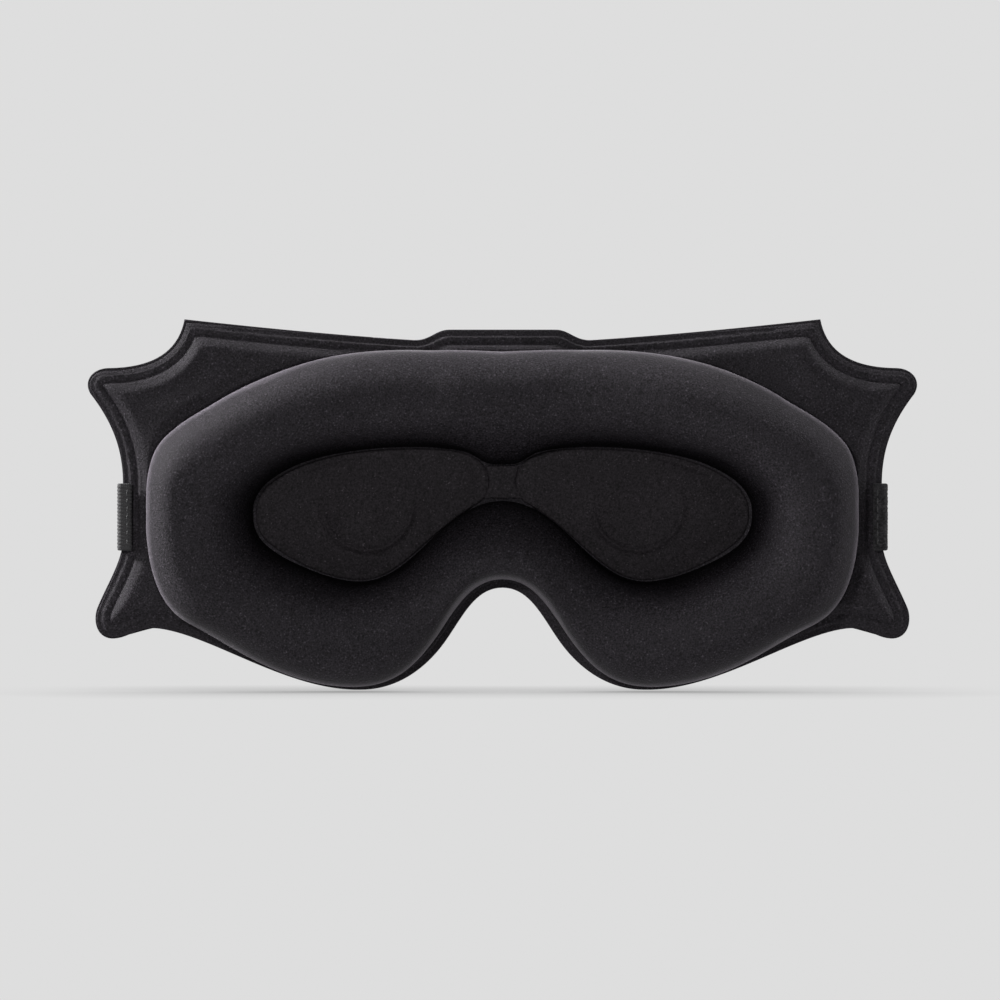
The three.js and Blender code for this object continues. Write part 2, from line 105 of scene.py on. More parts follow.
def drawn_joint(name):
    """A joint's place in the drawing frame, in millimetres."""
    joint = next(j for j in frame["joints"] if j["name"] == name)
    return Vector(joint["pos_m"]) / MM - Vector((0, JOINT_Y, STRAP_Z))


def place(points):
    """Points of the drawing frame, in millimetres, as the frame's metres."""
    return (np.asarray(points, float) + np.array([0, JOINT_Y, STRAP_Z])) * MM


COVER_NEAR = drawn_box("outer_cover")[0].y
DOME_TOP = drawn_box("outer_cover")[1].y
CREST = -drawn_box("cushion_cover")[0].y
CUSHION_FOOT = -drawn_box("cushion_cover")[1].y
PAD_TOP = -drawn_box("left_eye_pad")[0].y
STRAP_WIDTH = tab_box[1].z / MM - tab_box[0].z / MM
STRAP_THICKNESS = drawn_box("left_strap_tail")[1].y - drawn_box("left_strap_tail")[0].y

# ---------------------------------------------------------------------------
# Outlines, right half, from the top middle round to the bottom middle, as (x, z)
# ---------------------------------------------------------------------------

# Points in each stretch. Every outline has the same stretches, so their points pair up.
STEPS = {
    "top_middle": 12,
    "tab_shoulder": 15,
    "top_edge": 32,
    "upper_notch": 20,
    "upper_horn": 16,
    "upper_side": 20,
    "strap_side": 10,
    "lower_side": 16,
    "lower_horn": 16,
    "lower_notch": 12,
    "cheek": 34,
    "lobe": 20,
    "nose_arch": 20,
}

PANEL = {
    "top_middle": [(0, 54.2), (15.3, 54.2)],
    "tab_shoulder": [(15.3, 54.2), (19.5, 54.2), (20.5, 51.2), (25.5, 51.2)],
    "top_edge": [(25.5, 51.2), (48, 52.6), (70, 54.8), (92, 57.2)],
    "upper_notch": [(92, 57.2), (94, 46.5), (103, 43.2), (114, 43.1)],
    "upper_horn": [(114, 43.1), (118.5, 43), (121.5, 39.5), (119.2, 35.6)],
    "upper_side": [(119.2, 35.6), (112.5, 27), (109.8, 19), (109.8, 9.5)],
    "strap_side": [(109.8, 9.5), (109.8, -6)],
    "lower_side": [(109.8, -6), (109.8, -12.5), (114, -18.5), (117.3, -26.5)],
    "lower_horn": [(117.3, -26.5), (118.6, -30.5), (117.2, -35.4), (112.4, -35.2)],
    "lower_notch": [(112.4, -35.2), (107.5, -34.9), (106, -31.6), (99.5, -32.3)],
    "cheek": [(99.5, -32.3), (84, -34.2), (62, -50.5), (41, -50)],
    "lobe": [(41, -50), (30, -50), (22, -43.5), (16.8, -36.4)],
    "nose_arch": [(16.8, -36.4), (11.5, -29), (8, -20.5), (0, -20.5)],
}

RING_OUTSIDE = {
    "top_middle": [(0, 47.7), (14, 47.9)],
    "tab_shoulder": [(14, 47.9), (24, 47.9)],
    "top_edge": [(24, 47.9), (48, 48.2), (64, 43.6), (79.3, 35)],
    "upper_notch": [(79.3, 35), (84, 32.1), (89, 29.2), (92.5, 26.7)],
    "upper_horn": [(92.5, 26.7), (95.8, 24.2), (98.5, 21.8), (99.9, 18.8)],
    "upper_side": [(99.9, 18.8), (101.6, 15), (102.2, 10), (102.2, 7)],
    "strap_side": [(102.2, 7), (102.2, -4)],
    "lower_side": [(102.2, -4), (101.8, -10), (101, -15), (99, -20)],
    "lower_horn": [(99, -20), (97.8, -23), (96.2, -25.3), (94, -27.6)],
    "lower_notch": [(94, -27.6), (92, -29.4), (90, -30.6), (87.5, -32)],
    "cheek": [(87.5, -32), (74, -39.5), (60, -48.6), (43, -48.6)],
    "lobe": [(43, -48.6), (31, -48.6), (25.5, -42.5), (19.3, -34.6)],
    "nose_arch": [(19.3, -34.6), (13.8, -27.4), (9.5, -18), (0, -18)],
}

OPENING = {
    "top_middle": [(0, 15.2), (3, 15.3)],
    "tab_shoulder": [(3, 15.3), (6, 15.5), (7.5, 18), (11, 18.9)],
    "top_edge": [(11, 18.9), (24, 21.6), (46, 20), (58, 15.6)],
    "upper_notch": [(58, 15.6), (60.5, 14.6), (63, 13.4), (65, 12.1)],
    "upper_horn": [(65, 12.1), (67, 10.8), (69, 9.3), (70.2, 7.4)],
    "upper_side": [(70.2, 7.4), (71.4, 5.6), (72, 4), (72.1, 2.4)],
    "strap_side": [(72.1, 2.4), (72.1, -0.8)],
    "lower_side": [(72.1, -0.8), (71.9, -3), (71, -5), (69.6, -6.8)],
    "lower_horn": [(69.6, -6.8), (68.4, -8.2), (66.8, -9.4), (65, -10.6)],
    "lower_notch": [(65, -10.6), (63.4, -11.6), (62, -12.4), (60, -13.3)],
    "cheek": [(60, -13.3), (53, -16.6), (46, -19), (40, -18.6)],
    "lobe": [(40, -18.6), (33, -18), (27.5, -13.2), (21.5, -7.4)],
    "nose_arch": [(21.5, -7.4), (13.5, 0.4), (7, 4.6), (0, 4.6)],
}

EYE_PAD = {
    "brow": [(20, 19.2), (42, 19.8), (58.5, 16.6), (67.6, 8.8)],
    "outer_corner": [(67.6, 8.8), (72, 4.6), (72, -2.8), (67.8, -6.8)],
    "under_eye": [(67.8, -6.8), (59.5, -13.6), (48, -18.4), (40, -17.8)],
    "nose_side": [(40, -17.8), (30, -17.4), (22.5, -5), (8.5, 3.6)],
    "bridge_end": [(8.5, 3.6), (5.4, 5.2), (4.3, 6.8), (4.3, 9.5)],
    "brow_start": [(4.3, 9.5), (4.3, 14.6), (6.8, 18.8), (20, 19.2)],
}
PAD_STEPS = 30


def stretch(corners, steps):
    """Evenly spaced points along a line or cubic curve, without its last one."""
    corners = np.array(corners, float)
    t = np.linspace(0, 1, 121)[:, None]
    if len(corners) == 2:
        fine = corners[0] + t * (corners[1] - corners[0])
    else:
        a, b, c, d = corners
        fine = (1 - t) ** 3 * a + 3 * t * (1 - t) ** 2 * b + 3 * t**2 * (1 - t) * c + t**3 * d
    along = np.append(0, np.cumsum(np.linalg.norm(np.diff(fine, axis=0), axis=1)))
    at = np.linspace(0, along[-1], steps + 1)[:-1]
    return np.column_stack([np.interp(at, along, fine[:, i]) for i in (0, 1)])


def mirrored_loop(outline):
    """The whole loop from the outline of its right half."""
    right = np.vstack([stretch(points, STEPS[name]) for name, points in outline.items()])
    bottom = np.array([list(outline.values())[-1][-1]], float)
    left = right[:0:-1] * [-1, 1]
    return np.vstack([right, bottom, left])


panel = mirrored_loop(PANEL)
ring = mirrored_loop(RING_OUTSIDE)
opening = mirrored_loop(OPENING)

# ---------------------------------------------------------------------------
# Numbers and fields
# ---------------------------------------------------------------------------


def ease(t):
    t = np.clip(t, 0, 1)
    return t * t * (3 - 2 * t)


def puff(t):
    """Rises steeply from a crease and rounds off level."""
    return np.sin(np.clip(t, 0, 1) * math.pi / 2)


def blend_loops(a, b, share):
    share = np.asarray(share, float)
    if share.ndim == 1:
        share = share[:, None]
    return a + share * (b - a)


def outward(loop):
    """Unit normals of a loop that runs clockwise from its top, pointing away from its inside."""
    edge = np.roll(loop, -1, axis=0) - loop
    edge /= np.linalg.norm(edge, axis=1)[:, None]
    tangent = edge + np.roll(edge, 1, axis=0)
    tangent /= np.linalg.norm(tangent, axis=1)[:, None]
    return np.column_stack([-tangent[:, 1], tangent[:, 0]]), edge, tangent


def inset(loop, distance):
    """The loop moved inwards by a true distance, with its corners mitred."""
    normal, edge, tangent = outward(loop)
    mitre = np.clip(np.sum(edge * tangent, axis=1), 0.5, 1)
    return loop - normal * (distance / mitre)[:, None]


def distance_to(points, loop):
    """Distance from each point to the nearest edge of a loop."""
    a = loop
    b = np.roll(loop, -1, axis=0)
    ab = b - a
    length2 = np.sum(ab * ab, axis=1)
    found = np.empty(len(points))
    for start in range(0, len(points), 2000):
        p = points[start:start + 2000, None, :]
        t = np.clip(np.sum((p - a) * ab, axis=2) / length2, 0, 1)
        gap = p - (a + t[..., None] * ab)
        found[start:start + 2000] = np.sqrt(np.min(np.sum(gap * gap, axis=2), axis=1))
    return found


def rails(distances, share=0.8):
    """Loops at true distances inside the mask's edge, their points on lines towards the ring.

    Where the ring comes close to the edge, the loops keep their order and share what room there is.
    """
    steps = np.linspace(0, 1, 41)
    depth = np.array([distance_to(blend_loops(panel, ring, t), panel) for t in steps])
    depth = np.maximum.accumulate(depth, axis=0)
    loops = []
    for number, distance in enumerate(distances, start=1):
        room = depth[-1] * share * number / (len(distances) + 1)
        wanted = np.minimum(distance, room)
        at = np.array([np.interp(w, column, steps) for w, column in zip(wanted, depth.T)])
        loops.append(blend_loops(panel, ring, at))
    return loops


def smooth_round(values, reach):
    """Values along a loop, averaged over neighbours to a Gaussian of the given reach."""
    if reach < 0.3:
        return values
    span = int(reach * 3) + 1
    weights = np.exp(-0.5 * (np.arange(-span, span + 1) / reach) ** 2)
    weights /= weights.sum()
    return sum(w * np.roll(values, k, axis=0) for k, w in zip(range(-span, span + 1), weights))


def ripple(points, size, seed):
    """Soft noise between -1 and 1 with bumps of about the given size in millimetres."""
    shift = Vector((seed * 17.3, seed * -9.1, seed * 4.7))
    return np.array([noise.noise(Vector(p) / size + shift) for p in points])


# ---------------------------------------------------------------------------
# Meshes
# ---------------------------------------------------------------------------


def new_object(name, points, faces, materials):
    mesh = bpy.data.meshes.new(name)
    mesh.from_pydata([tuple(p) for p in place(points)], [], faces)
    mesh.update()
    tidy = bmesh.new()
    tidy.from_mesh(mesh)
    bmesh.ops.remove_doubles(tidy, verts=tidy.verts, dist=1e-7)
    bmesh.ops.recalc_face_normals(tidy, faces=tidy.faces)
    tidy.to_mesh(mesh)
    tidy.free()
    mesh.polygons.foreach_set("use_smooth", [True] * len(mesh.polygons))
    piece = bpy.data.objects.new(name, mesh)
    bpy.context.scene.collection.objects.link(piece)
    for material in materials:
        mesh.materials.append(material)
    return piece


def band_faces(row_count, count, joined):
    """Quads between neighbouring rows of points, each row a closed loop of count points."""
    faces = []
    for row in range(row_count if joined else row_count - 1):
        low = row * count
        high = ((row + 1) % row_count) * count
        for i in range(count):
            j = (i + 1) % count
            faces.append((low + i, low + j, high + j, high + i))
    return faces


def rows_to_piece(name, rows, material, joined=False, first_tip=None, last_tip=None):
    """A surface through rows of points: joined back to its first row, or closed by tips."""
    count = len(rows[0])
    points = np.vstack(rows)
    faces = band_faces(len(rows), count, joined)
    if first_tip is not None:
        points = np.vstack([points, [first_tip]])
        tip = len(points) - 1
        faces += [((i + 1) % count, i, tip) for i in range(count)]
    if last_tip is not None:
        points = np.vstack([points, [last_tip]])
        tip = len(points) - 1
        base = (len(rows) - 1) * count
        faces += [(base + i, base + (i + 1) % count, tip) for i in range(count)]
    return new_object(name, points, faces, [material])


def lift(loop, y):
    """A loop in (x, z) set at a depth y, one value or one for each point."""
    return np.column_stack([loop[:, 0], np.broadcast_to(y, len(loop)), loop[:, 1]])


def paint_hollow_shade(piece, values):
    """Store how deep in a hollow each point lies, for the fabric's painted shade there."""
    layer = piece.data.attributes.new("hollow", "FLOAT", "POINT")
    layer.data.foreach_set("value", np.concatenate(values).astype(np.float32))


def subdivide(piece, levels=1):
    modifier = piece.modifiers.new("smooth_surface", "SUBSURF")
    modifier.levels = levels
    modifier.render_levels = levels


def apply_modifiers(piece):
    graph = bpy.context.evaluated_depsgraph_get()
    mesh = bpy.data.meshes.new_from_object(piece.evaluated_get(graph))
    piece.modifiers.clear()
    piece.data = mesh


# ---------------------------------------------------------------------------
# Cloth simulation
# ---------------------------------------------------------------------------

SIMULATED_FRAMES = 20


def spread(values, old_size, every, closed):
    """Values kept at every few places along the first axis, brought back to all of them."""
    at = np.arange(old_size)
    known = np.append(np.arange(0, old_size, every), [] if closed else [old_size - 1])
    known = np.unique(known.astype(int))
    if closed:
        values = np.concatenate([values, values[:1]])
        known = np.append(known, old_size)
    flat = values.reshape(len(values), -1)
    full = np.column_stack([np.interp(at, known, column) for column in flat.T])
    return full.reshape(old_size, *values.shape[1:])


def settle(rows, held, face, row_step=2, station_step=4, pressure=4.0, spare=0.02, cap=1.4):
    """The rows after a short cloth simulation under pressure, with the held rows sewn down.

    The simulation runs on a coarser copy. Its movement is capped, smoothed and added to the
    rows, so that fine edges stay. face is the direction of y that the pressure pushes towards.
    """
    grid = np.array(rows)
    size, count = grid.shape[:2]
    picked = np.unique(np.append(np.arange(0, size, row_step), size - 1))
    coarse = grid[picked][:, ::station_step]
    points = coarse.reshape(-1, 3)
    faces = band_faces(len(coarse), coarse.shape[1], False)
    mesh = bpy.data.meshes.new("settling")
    mesh.from_pydata([tuple(p) for p in place(points)], [], faces)
    mesh.update()
    if sum(polygon.normal.y * polygon.area for polygon in mesh.polygons) * face < 0:
        mesh.flip_normals()
    cloth = bpy.data.objects.new("settling", mesh)
    bpy.context.scene.collection.objects.link(cloth)
    pins = cloth.vertex_groups.new(name="sewn")
    sewn = np.array([held(row / (size - 1)) for row in picked])
    for index, weight in enumerate(np.repeat(sewn, coarse.shape[1])):
        if weight > 0:
            pins.add([index], float(weight), "REPLACE")
    modifier = cloth.modifiers.new("cloth", "CLOTH")
    modifier.settings.vertex_group_mass = "sewn"
    modifier.settings.use_pressure = True
    modifier.settings.uniform_pressure_force = pressure
    modifier.settings.shrink_min = -spare
    modifier.settings.effector_weights.gravity = 0
    modifier.settings.quality = 5
    modifier.point_cache.frame_start = 1
    modifier.point_cache.frame_end = SIMULATED_FRAMES
    for number in range(1, SIMULATED_FRAMES + 1):
        bpy.context.scene.frame_set(number)
    settled = cloth.evaluated_get(bpy.context.evaluated_depsgraph_get()).data
    moved = np.empty(len(points) * 3)
    settled.vertices.foreach_get("co", moved)
    moved = (moved.reshape(-1, 3) - place(points)) / MM
    bpy.data.objects.remove(cloth)
    bpy.context.scene.frame_set(1)
    length = np.linalg.norm(moved, axis=1)[:, None] + 1e-9
    moved = moved / length * cap * np.tanh(length / cap)
    moved = moved.reshape(coarse.shape)
    moved = spread(moved, size, row_step, closed=False)
    for _ in range(2 * row_step):
        moved[1:-1] = (moved[:-2] + 2 * moved[1:-1] + moved[2:]) / 4
    moved = spread(moved.swapaxes(0, 1), count, station_step, closed=True)
    moved = smooth_round(moved, station_step).swapaxes(0, 1)
    return list(grid + moved)


# ---------------------------------------------------------------------------
# Materials
# ---------------------------------------------------------------------------


class Nodes:
    """A short way to write a node material."""

    def __init__(self, name):
        self.material = bpy.data.materials.new(name)
        self.material.use_nodes = True
        self.tree = self.material.node_tree
        self.shader = self.tree.nodes["Principled BSDF"]
        self.coordinates = self.add("ShaderNodeTexCoord").outputs["Object"]

    def add(self, kind, **inputs):
        node = self.tree.nodes.new(kind)
        for key, value in inputs.items():
            self.set(node, key.replace("_", " "), value)
        return node

    def set(self, node, name, value):
        socket = node.inputs[name]
        if isinstance(value, bpy.types.NodeSocket):
            self.tree.links.new(value, socket)
        else:
            socket.default_value = value

    def noise(self, size_mm, detail=2.0, rough=0.5, stretch_by=None):
        vector = self.coordinates
        if stretch_by is not None:
            mapping = self.add("ShaderNodeMapping", Vector=vector, Scale=stretch_by)
            vector = mapping.outputs["Vector"]
        node = self.add("ShaderNodeTexNoise", Vector=vector, Scale=1 / (size_mm * MM))
        node.inputs["Detail"].default_value = detail
        node.inputs["Roughness"].default_value = rough
        return node.outputs["Fac"]

    def remap(self, value, low, high, to_low=0.0, to_high=1.0):
        node = self.add("ShaderNodeMapRange", Value=value)
        for name, number in (("From Min", low), ("From Max", high), ("To Min", to_low), ("To Max", to_high)):
            node.inputs[name].default_value = number
        return node.outputs["Result"]

    def math(self, operation, a, b):
        node = self.tree.nodes.new("ShaderNodeMath")
        node.operation = operation
        for index, value in enumerate((a, b)):
            if isinstance(value, bpy.types.NodeSocket):
                self.tree.links.new(value, node.inputs[index])
            else:
                node.inputs[index].default_value = value
        return node.outputs["Value"]

    def wave(self, pitch_mm, axis):
        """A smooth ridge pattern along one axis, 0 to 1."""
        split = self.add("ShaderNodeSeparateXYZ", Vector=self.coordinates)
        turn = self.math("MULTIPLY", split.outputs[axis], 2 * math.pi / (pitch_mm * MM))
        ridge = self.math("SINE", turn, 0.0)
        return self.remap(ridge, -1, 1)

    def tint(self, base, factor):
        """The base colour times a grey factor."""
        node = self.tree.nodes.new("ShaderNodeMix")
        node.data_type = "RGBA"
        node.blend_type = "MULTIPLY"
        node.inputs["Factor"].default_value = 1.0
        node.inputs[6].default_value = (*base, 1)
        self.tree.links.new(factor, node.inputs[7])
        return node.outputs[2]

    def bump(self, height, depth_mm, strength=1.0, under=None):
        node = self.add("ShaderNodeBump", Height=height, Strength=strength, Distance=depth_mm * MM)
        if under is not None:
            self.tree.links.new(under, node.inputs["Normal"])
        return node.outputs["Normal"]

    def openness(self):
        """1 on an open surface, towards 0 in a hollow that the mesh has marked, where the fabric paints shade."""
        node = self.tree.nodes.new("ShaderNodeAttribute")
        node.attribute_name = "hollow"
        return self.remap(node.outputs["Fac"], 0, 1, 1.0, 0.0)

    def painted_rim_highlight(self, openness, gain):
        """Painted highlight: a factor on the colour that rises where an open surface turns away, standing in for
        light its nap catches when seen from the side.
        """
        node = self.add("ShaderNodeLayerWeight", Blend=0.5)
        turned = self.remap(node.outputs["Facing"], 0.62, 1.0, 0.0, gain)
        return self.math("ADD", self.math("MULTIPLY", turned, self.remap(openness, 0.6, 0.9)), 1.0)

    def finish(self, **inputs):
        for key, value in inputs.items():
            self.set(self.shader, key.replace("_", " "), value)
        return self.material


def napped_fabric(name, base, sheen, grain_mm=0.5, fleck=2.0, darkest_painted_shade=1.0, rim_highlight_gain=0.0):
    """Fine brushed knit: a soft nap with tiny brighter fibres and a faint sheen, plus painted shade in marked
    hollows and a painted highlight where the surface turns away.
    """
    n = Nodes(name)
    grain = n.noise(grain_mm, detail=2.0, rough=0.6)
    cloud = n.noise(20, detail=2.0)
    nap = n.noise(3.0, detail=2.0, stretch_by=(1, 1, 0.6))
    fibre = n.remap(n.noise(0.5, detail=1.0, rough=0.4), 0.67, 0.80, 0.0, fleck)
    shade = n.remap(cloud, 0.3, 0.7, 0.92, 1.08)
    shade = n.math("MULTIPLY", shade, n.remap(nap, 0.3, 0.7, 0.94, 1.06))
    shade = n.math("MULTIPLY", shade, n.remap(grain, 0.32, 0.68, 0.3, 1.8))
    shade = n.math("ADD", shade, fibre)
    openness = n.openness()
    # Painted shade: the colour darkens in a marked hollow.
    shade = n.math("MULTIPLY", shade, n.remap(openness, 0.1, 0.9, darkest_painted_shade, 1.0))
    # Painted highlight: the colour brightens where an open surface turns away.
    shade = n.math("MULTIPLY", shade, n.painted_rim_highlight(openness, rim_highlight_gain))
    normal = n.bump(nap, 0.12, 0.5)
    normal = n.bump(grain, 0.3, 0.8, under=normal)
    return n.finish(
        Base_Color=n.tint(base, shade),
        Roughness=n.remap(grain, 0.3, 0.7, 0.55, 0.85),
        # Specular and sheen fade out in a marked hollow, as part of its painted shade.
        Specular_IOR_Level=n.remap(openness, 0.5, 0.95, 0.0, 0.1),
        Sheen_Weight=n.remap(openness, 0.6, 0.95, 0.0, sheen),
        Sheen_Roughness=0.3,
        Sheen_Tint=(0.97, 0.92, 0.97, 1),
        Normal=normal,
    )


def webbing_finish(name, base):
    """Elastic webbing: fine cross threads between its lengthwise ribs."""
    n = Nodes(name)
    cross = n.wave(0.62, "X")
    rib = n.wave(1.02, "Z")
    grain = n.noise(0.3, detail=2.0, rough=0.6)
    shade = n.math("MULTIPLY", n.remap(cross, 0, 1, 0.9, 1.08), n.remap(grain, 0.3, 0.7, 0.6, 1.5))
    shade = n.math("MULTIPLY", shade, n.remap(rib, 0, 1, 0.6, 0.95))
    normal = n.bump(cross, 0.03, 0.6)
    normal = n.bump(grain, 0.07, 0.7, under=normal)
    return n.finish(
        Base_Color=n.tint(base, shade),
        Roughness=n.remap(grain, 0.3, 0.7, 0.55, 0.85),
        Specular_IOR_Level=0.35,
        Sheen_Weight=0.12,
        Sheen_Roughness=0.4,
        Normal=normal,
    )


def pile_finish(name, base):
    """Brushed loop face: a tangle of short fibres that catch the light singly."""
    n = Nodes(name)
    tangle = n.noise(0.9, detail=4.0, rough=0.75)
    streak = n.noise(0.5, detail=3.0, rough=0.7, stretch_by=(0.45, 1, 1))
    shade = n.math("MULTIPLY", n.remap(tangle, 0.35, 0.65, 0.3, 1.5), n.remap(streak, 0.35, 0.65, 0.5, 1.4))
    normal = n.bump(tangle, 0.5, 1.0)
    normal = n.bump(streak, 0.25, 0.9, under=normal)
    return n.finish(
        Base_Color=n.tint(base, shade),
        Roughness=0.95,
        Specular_IOR_Level=0.1,
        Sheen_Weight=0.06,
        Sheen_Roughness=0.6,
        Normal=normal,
    )


def nylon_finish(name, base):
    """Moulded nylon hooks and their woven backing."""
    n = Nodes(name)
    grain = n.noise(0.25, detail=2.0)
    weave = n.math("MULTIPLY", n.wave(0.5, "X"), n.wave(0.5, "Z"))
    shade = n.remap(grain, 0.3, 0.7, 0.7, 1.3)
    return n.finish(
        Base_Color=n.tint(base, shade),
        Roughness=n.remap(grain, 0.3, 0.7, 0.32, 0.55),
        Specular_IOR_Level=0.5,
        Normal=n.bump(weave, 0.06, 0.5),
    )


def thread_finish(name, base):
    """Twisted sewing thread: slanting plies."""
    n = Nodes(name)
    split = n.add("ShaderNodeSeparateXYZ", Vector=n.coordinates)
    slant = n.math("ADD", split.outputs["X"], split.outputs["Z"])
    ply = n.remap(n.math("SINE", n.math("MULTIPLY", slant, 2 * math.pi / (0.35 * MM)), 0.0), -1, 1)
    return n.finish(
        Base_Color=n.tint(base, n.remap(ply, 0, 1, 0.7, 1.3)),
        Roughness=0.6,
        Sheen_Weight=0.2,
        Normal=n.bump(ply, 0.05, 0.8),
    )


def foam_finish(name, base):
    """Open-cell foam, with painted shade darkening its pits."""
    n = Nodes(name)
    cells = n.tree.nodes.new("ShaderNodeTexVoronoi")
    n.tree.links.new(n.coordinates, cells.inputs["Vector"])
    cells.inputs["Scale"].default_value = 1 / (0.9 * MM)
    pits = n.remap(cells.outputs["Distance"], 0.1, 0.6)
    # Painted shade: the colour darkens towards the bottom of each pit.
    return n.finish(
        Base_Color=n.tint(base, n.remap(pits, 0, 1, 0.4, 1.2)),
        Roughness=1.0,
        Normal=n.bump(pits, 0.4, 0.9),
    )


record_colour = {m["slot"]: tuple(m["base_color"][:3]) for m in frame["record"]["materials"]}
brushed = record_colour["brushed_fabric"]
# This fabric paints shade into its marked hollows and a highlight where it turns away.
fabric = napped_fabric("brushed_fabric", brushed, sheen=0.07, darkest_painted_shade=0.2, rim_highlight_gain=4.0)
pad_fabric = napped_fabric("pad_fabric", record_colour["pad_fabric"], sheen=0.02, grain_mm=0.55, fleck=3.0)
webbing = webbing_finish("webbing", record_colour["webbing"])
pile = pile_finish("loop_pile", record_colour["loop_pile"])
nylon = nylon_finish("hook_nylon", record_colour["hook"])
thread = thread_finish("thread", record_colour["thread"])
foam = foam_finish("foam", record_colour["foam"])

# ---------------------------------------------------------------------------
# Outer cover
# ---------------------------------------------------------------------------

BORDER = 3.7            # pressed border's width round the mask
COVER_THICKNESS = 1.2
INNER_FACE_DEPTH = 1.1  # from the cover's outer face to its hidden one
DOME_SMOOTHING = 26     # stations over which the dome is averaged at its middle
MIDDLE = np.array([0, 10.0])   # every point of the opening can be seen from here
SHOULDER = 28           # distance over which the dome rises from the border
CREST_SOFTNESS = 24     # stations over which loops near the opening average its shape


def cover_rise(loop):
    """How far the cover's outer face stands beyond its pressed border."""
    edge = distance_to(loop, panel)
    quilt = 0.95 * puff((edge - BORDER) / 4.2)
    across = loop[:, 0] / 120
    up = (loop[:, 1] - MIDDLE[1]) / 60
    bowl = 0.6 + 0.4 * (1 - across**2) * (1 - up**2)
    dome = (DOME_TOP - COVER_NEAR - COVER_THICKNESS - 0.95) * bowl
    return quilt + dome * ease((edge - BORDER) / SHOULDER)


def cover_rows():
    """Loops from just inside the rim to the middle of the cover."""
    rows = rails(0.45 + 8.5 * np.linspace(0, 1, 20) ** 1.5)
    soft_opening = smooth_round(opening, CREST_SOFTNESS)
    rows += [blend_loops(rows[-1], ring, t) for t in np.linspace(0, 1, 20)[1:]]
    rows += [blend_loops(ring, soft_opening, t) for t in np.linspace(0, 1, 22)[1:]]
    rows += [blend_loops(soft_opening, MIDDLE, t) for t in np.linspace(0, 0.97, 16)[1:]]
    return rows


def outer_cover():
    near = COVER_NEAR
    far = COVER_NEAR + COVER_THICKNESS
    loops = cover_rows()
    outside = []
    for index, loop in enumerate(loops):
        rise = smooth_round(cover_rise(loop), DOME_SMOOTHING * index / len(loops))
        fade = min(index / 6, 1)
        waves = ripple(lift(loop, 0), 21, 3) * 0.22 + ripple(lift(loop, 0), 8, 4) * 0.07
        outside.append(lift(loop, far + rise + fade * waves))
    inside = [row - [0, INNER_FACE_DEPTH, 0] for row in outside[::4]]
    rim = [
        lift(inset(panel, 0.16), far - 0.09),
        lift(inset(panel, 0.02), far - 0.32),
        lift(panel, (near + far) / 2),
        lift(inset(panel, 0.02), near + 0.3),
        lift(inset(panel, 0.18), near + 0.06),
    ]
    outside[6:] = settle(outside[6:], lambda t: t < 0.05, 1, row_step=3, station_step=6, cap=1.0)
    rows = outside[::-1] + rim + inside
    tip_out = [*outside[-1].mean(0)]
    tip_in = [*inside[-1].mean(0)]
    piece = rows_to_piece("outer_cover_cloth", rows, fabric, first_tip=tip_out, last_tip=tip_in)
    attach(piece, "mask")
    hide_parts("outer_cover")


# ---------------------------------------------------------------------------
# Inner lining: border, padded wings, flat under the ring cushion
# ---------------------------------------------------------------------------

LINING_SETBACK = 1.9
LINING_EDGE = 0.8       # thickness at the pressed border
BORDER_GROOVE = 2.35    # from the lining's edge to the pressed line round the wings
WING_RISE = 2.5


def lining_face(loop):
    """Depth of the lining's face side at each point of a loop."""
    edge = distance_to(loop, panel) - LINING_SETBACK
    foot = distance_to(loop, ring)
    rim = LINING_EDGE * np.sqrt(1 - (1 - np.clip(edge / 0.45, 0, 1)) ** 2)
    groove = 0.25 * np.exp(-((edge - BORDER_GROOVE) / 0.3) ** 2)
    pad = WING_RISE * puff((edge - BORDER_GROOVE) / 3.6) ** 1.2 * ease((foot + 0.9) / 1.8)
    return -(rim - groove + pad)


def inner_lining():
    border = rails(LINING_SETBACK + np.linspace(0, BORDER_GROOVE + 0.9, 18))
    rows = [lift(loop, lining_face(loop)) for loop in border[:-1]]
    wing_loops = [blend_loops(border[-1], ring, t) for t in np.linspace(0, 1, 42)]
    wing = [lift(loop, smooth_round(lining_face(loop), 2.5)) for loop in wing_loops]
    rows += settle(wing, lambda t: t < 0.04 or t > 0.97, -1, row_step=3, spare=0.02, cap=0.45)
    rows += [lift(blend_loops(ring, opening, t), -LINING_EDGE) for t in (0.1, 0.5, 1)]
    rows += [lift(blend_loops(opening, MIDDLE, t), -0.5) for t in (0.03, 0.5, 0.97)]
    back_y = COVER_NEAR - 0.02
    back = [lift(blend_loops(opening, MIDDLE, t), back_y) for t in (0.97, 0.5, 0)]
    back += [lift(blend_loops(ring, opening, 0.5), back_y), lift(border[0], back_y)]
    rows = back + rows
    tips = [loop.mean(0) for loop in (back[0], rows[-1])]
    piece = rows_to_piece("inner_lining_cloth", rows, fabric, first_tip=tips[0], last_tip=tips[1])
    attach(piece, "mask")
    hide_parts("inner_lining")


# ---------------------------------------------------------------------------
# Ring cushion
# ---------------------------------------------------------------------------

CREST_AT_NOSE = 14.5
TEMPLE_X = 85
SEWN_DEPTH = 0.5         # how near the joint plane the cushion's seam lies
CREST_SHARE = 0.27       # of the way from the outer foot to the inner one
BROW_SHOULDER = 0.13     # added where the outer wall faces up, for a rounder shoulder
SIDE_BULGE = 0.4


def cushion_crest(loop):
    full = CREST - CUSHION_FOOT
    return CREST_AT_NOSE + (full - CREST_AT_NOSE) * ease(np.abs(loop[:, 0]) / TEMPLE_X)


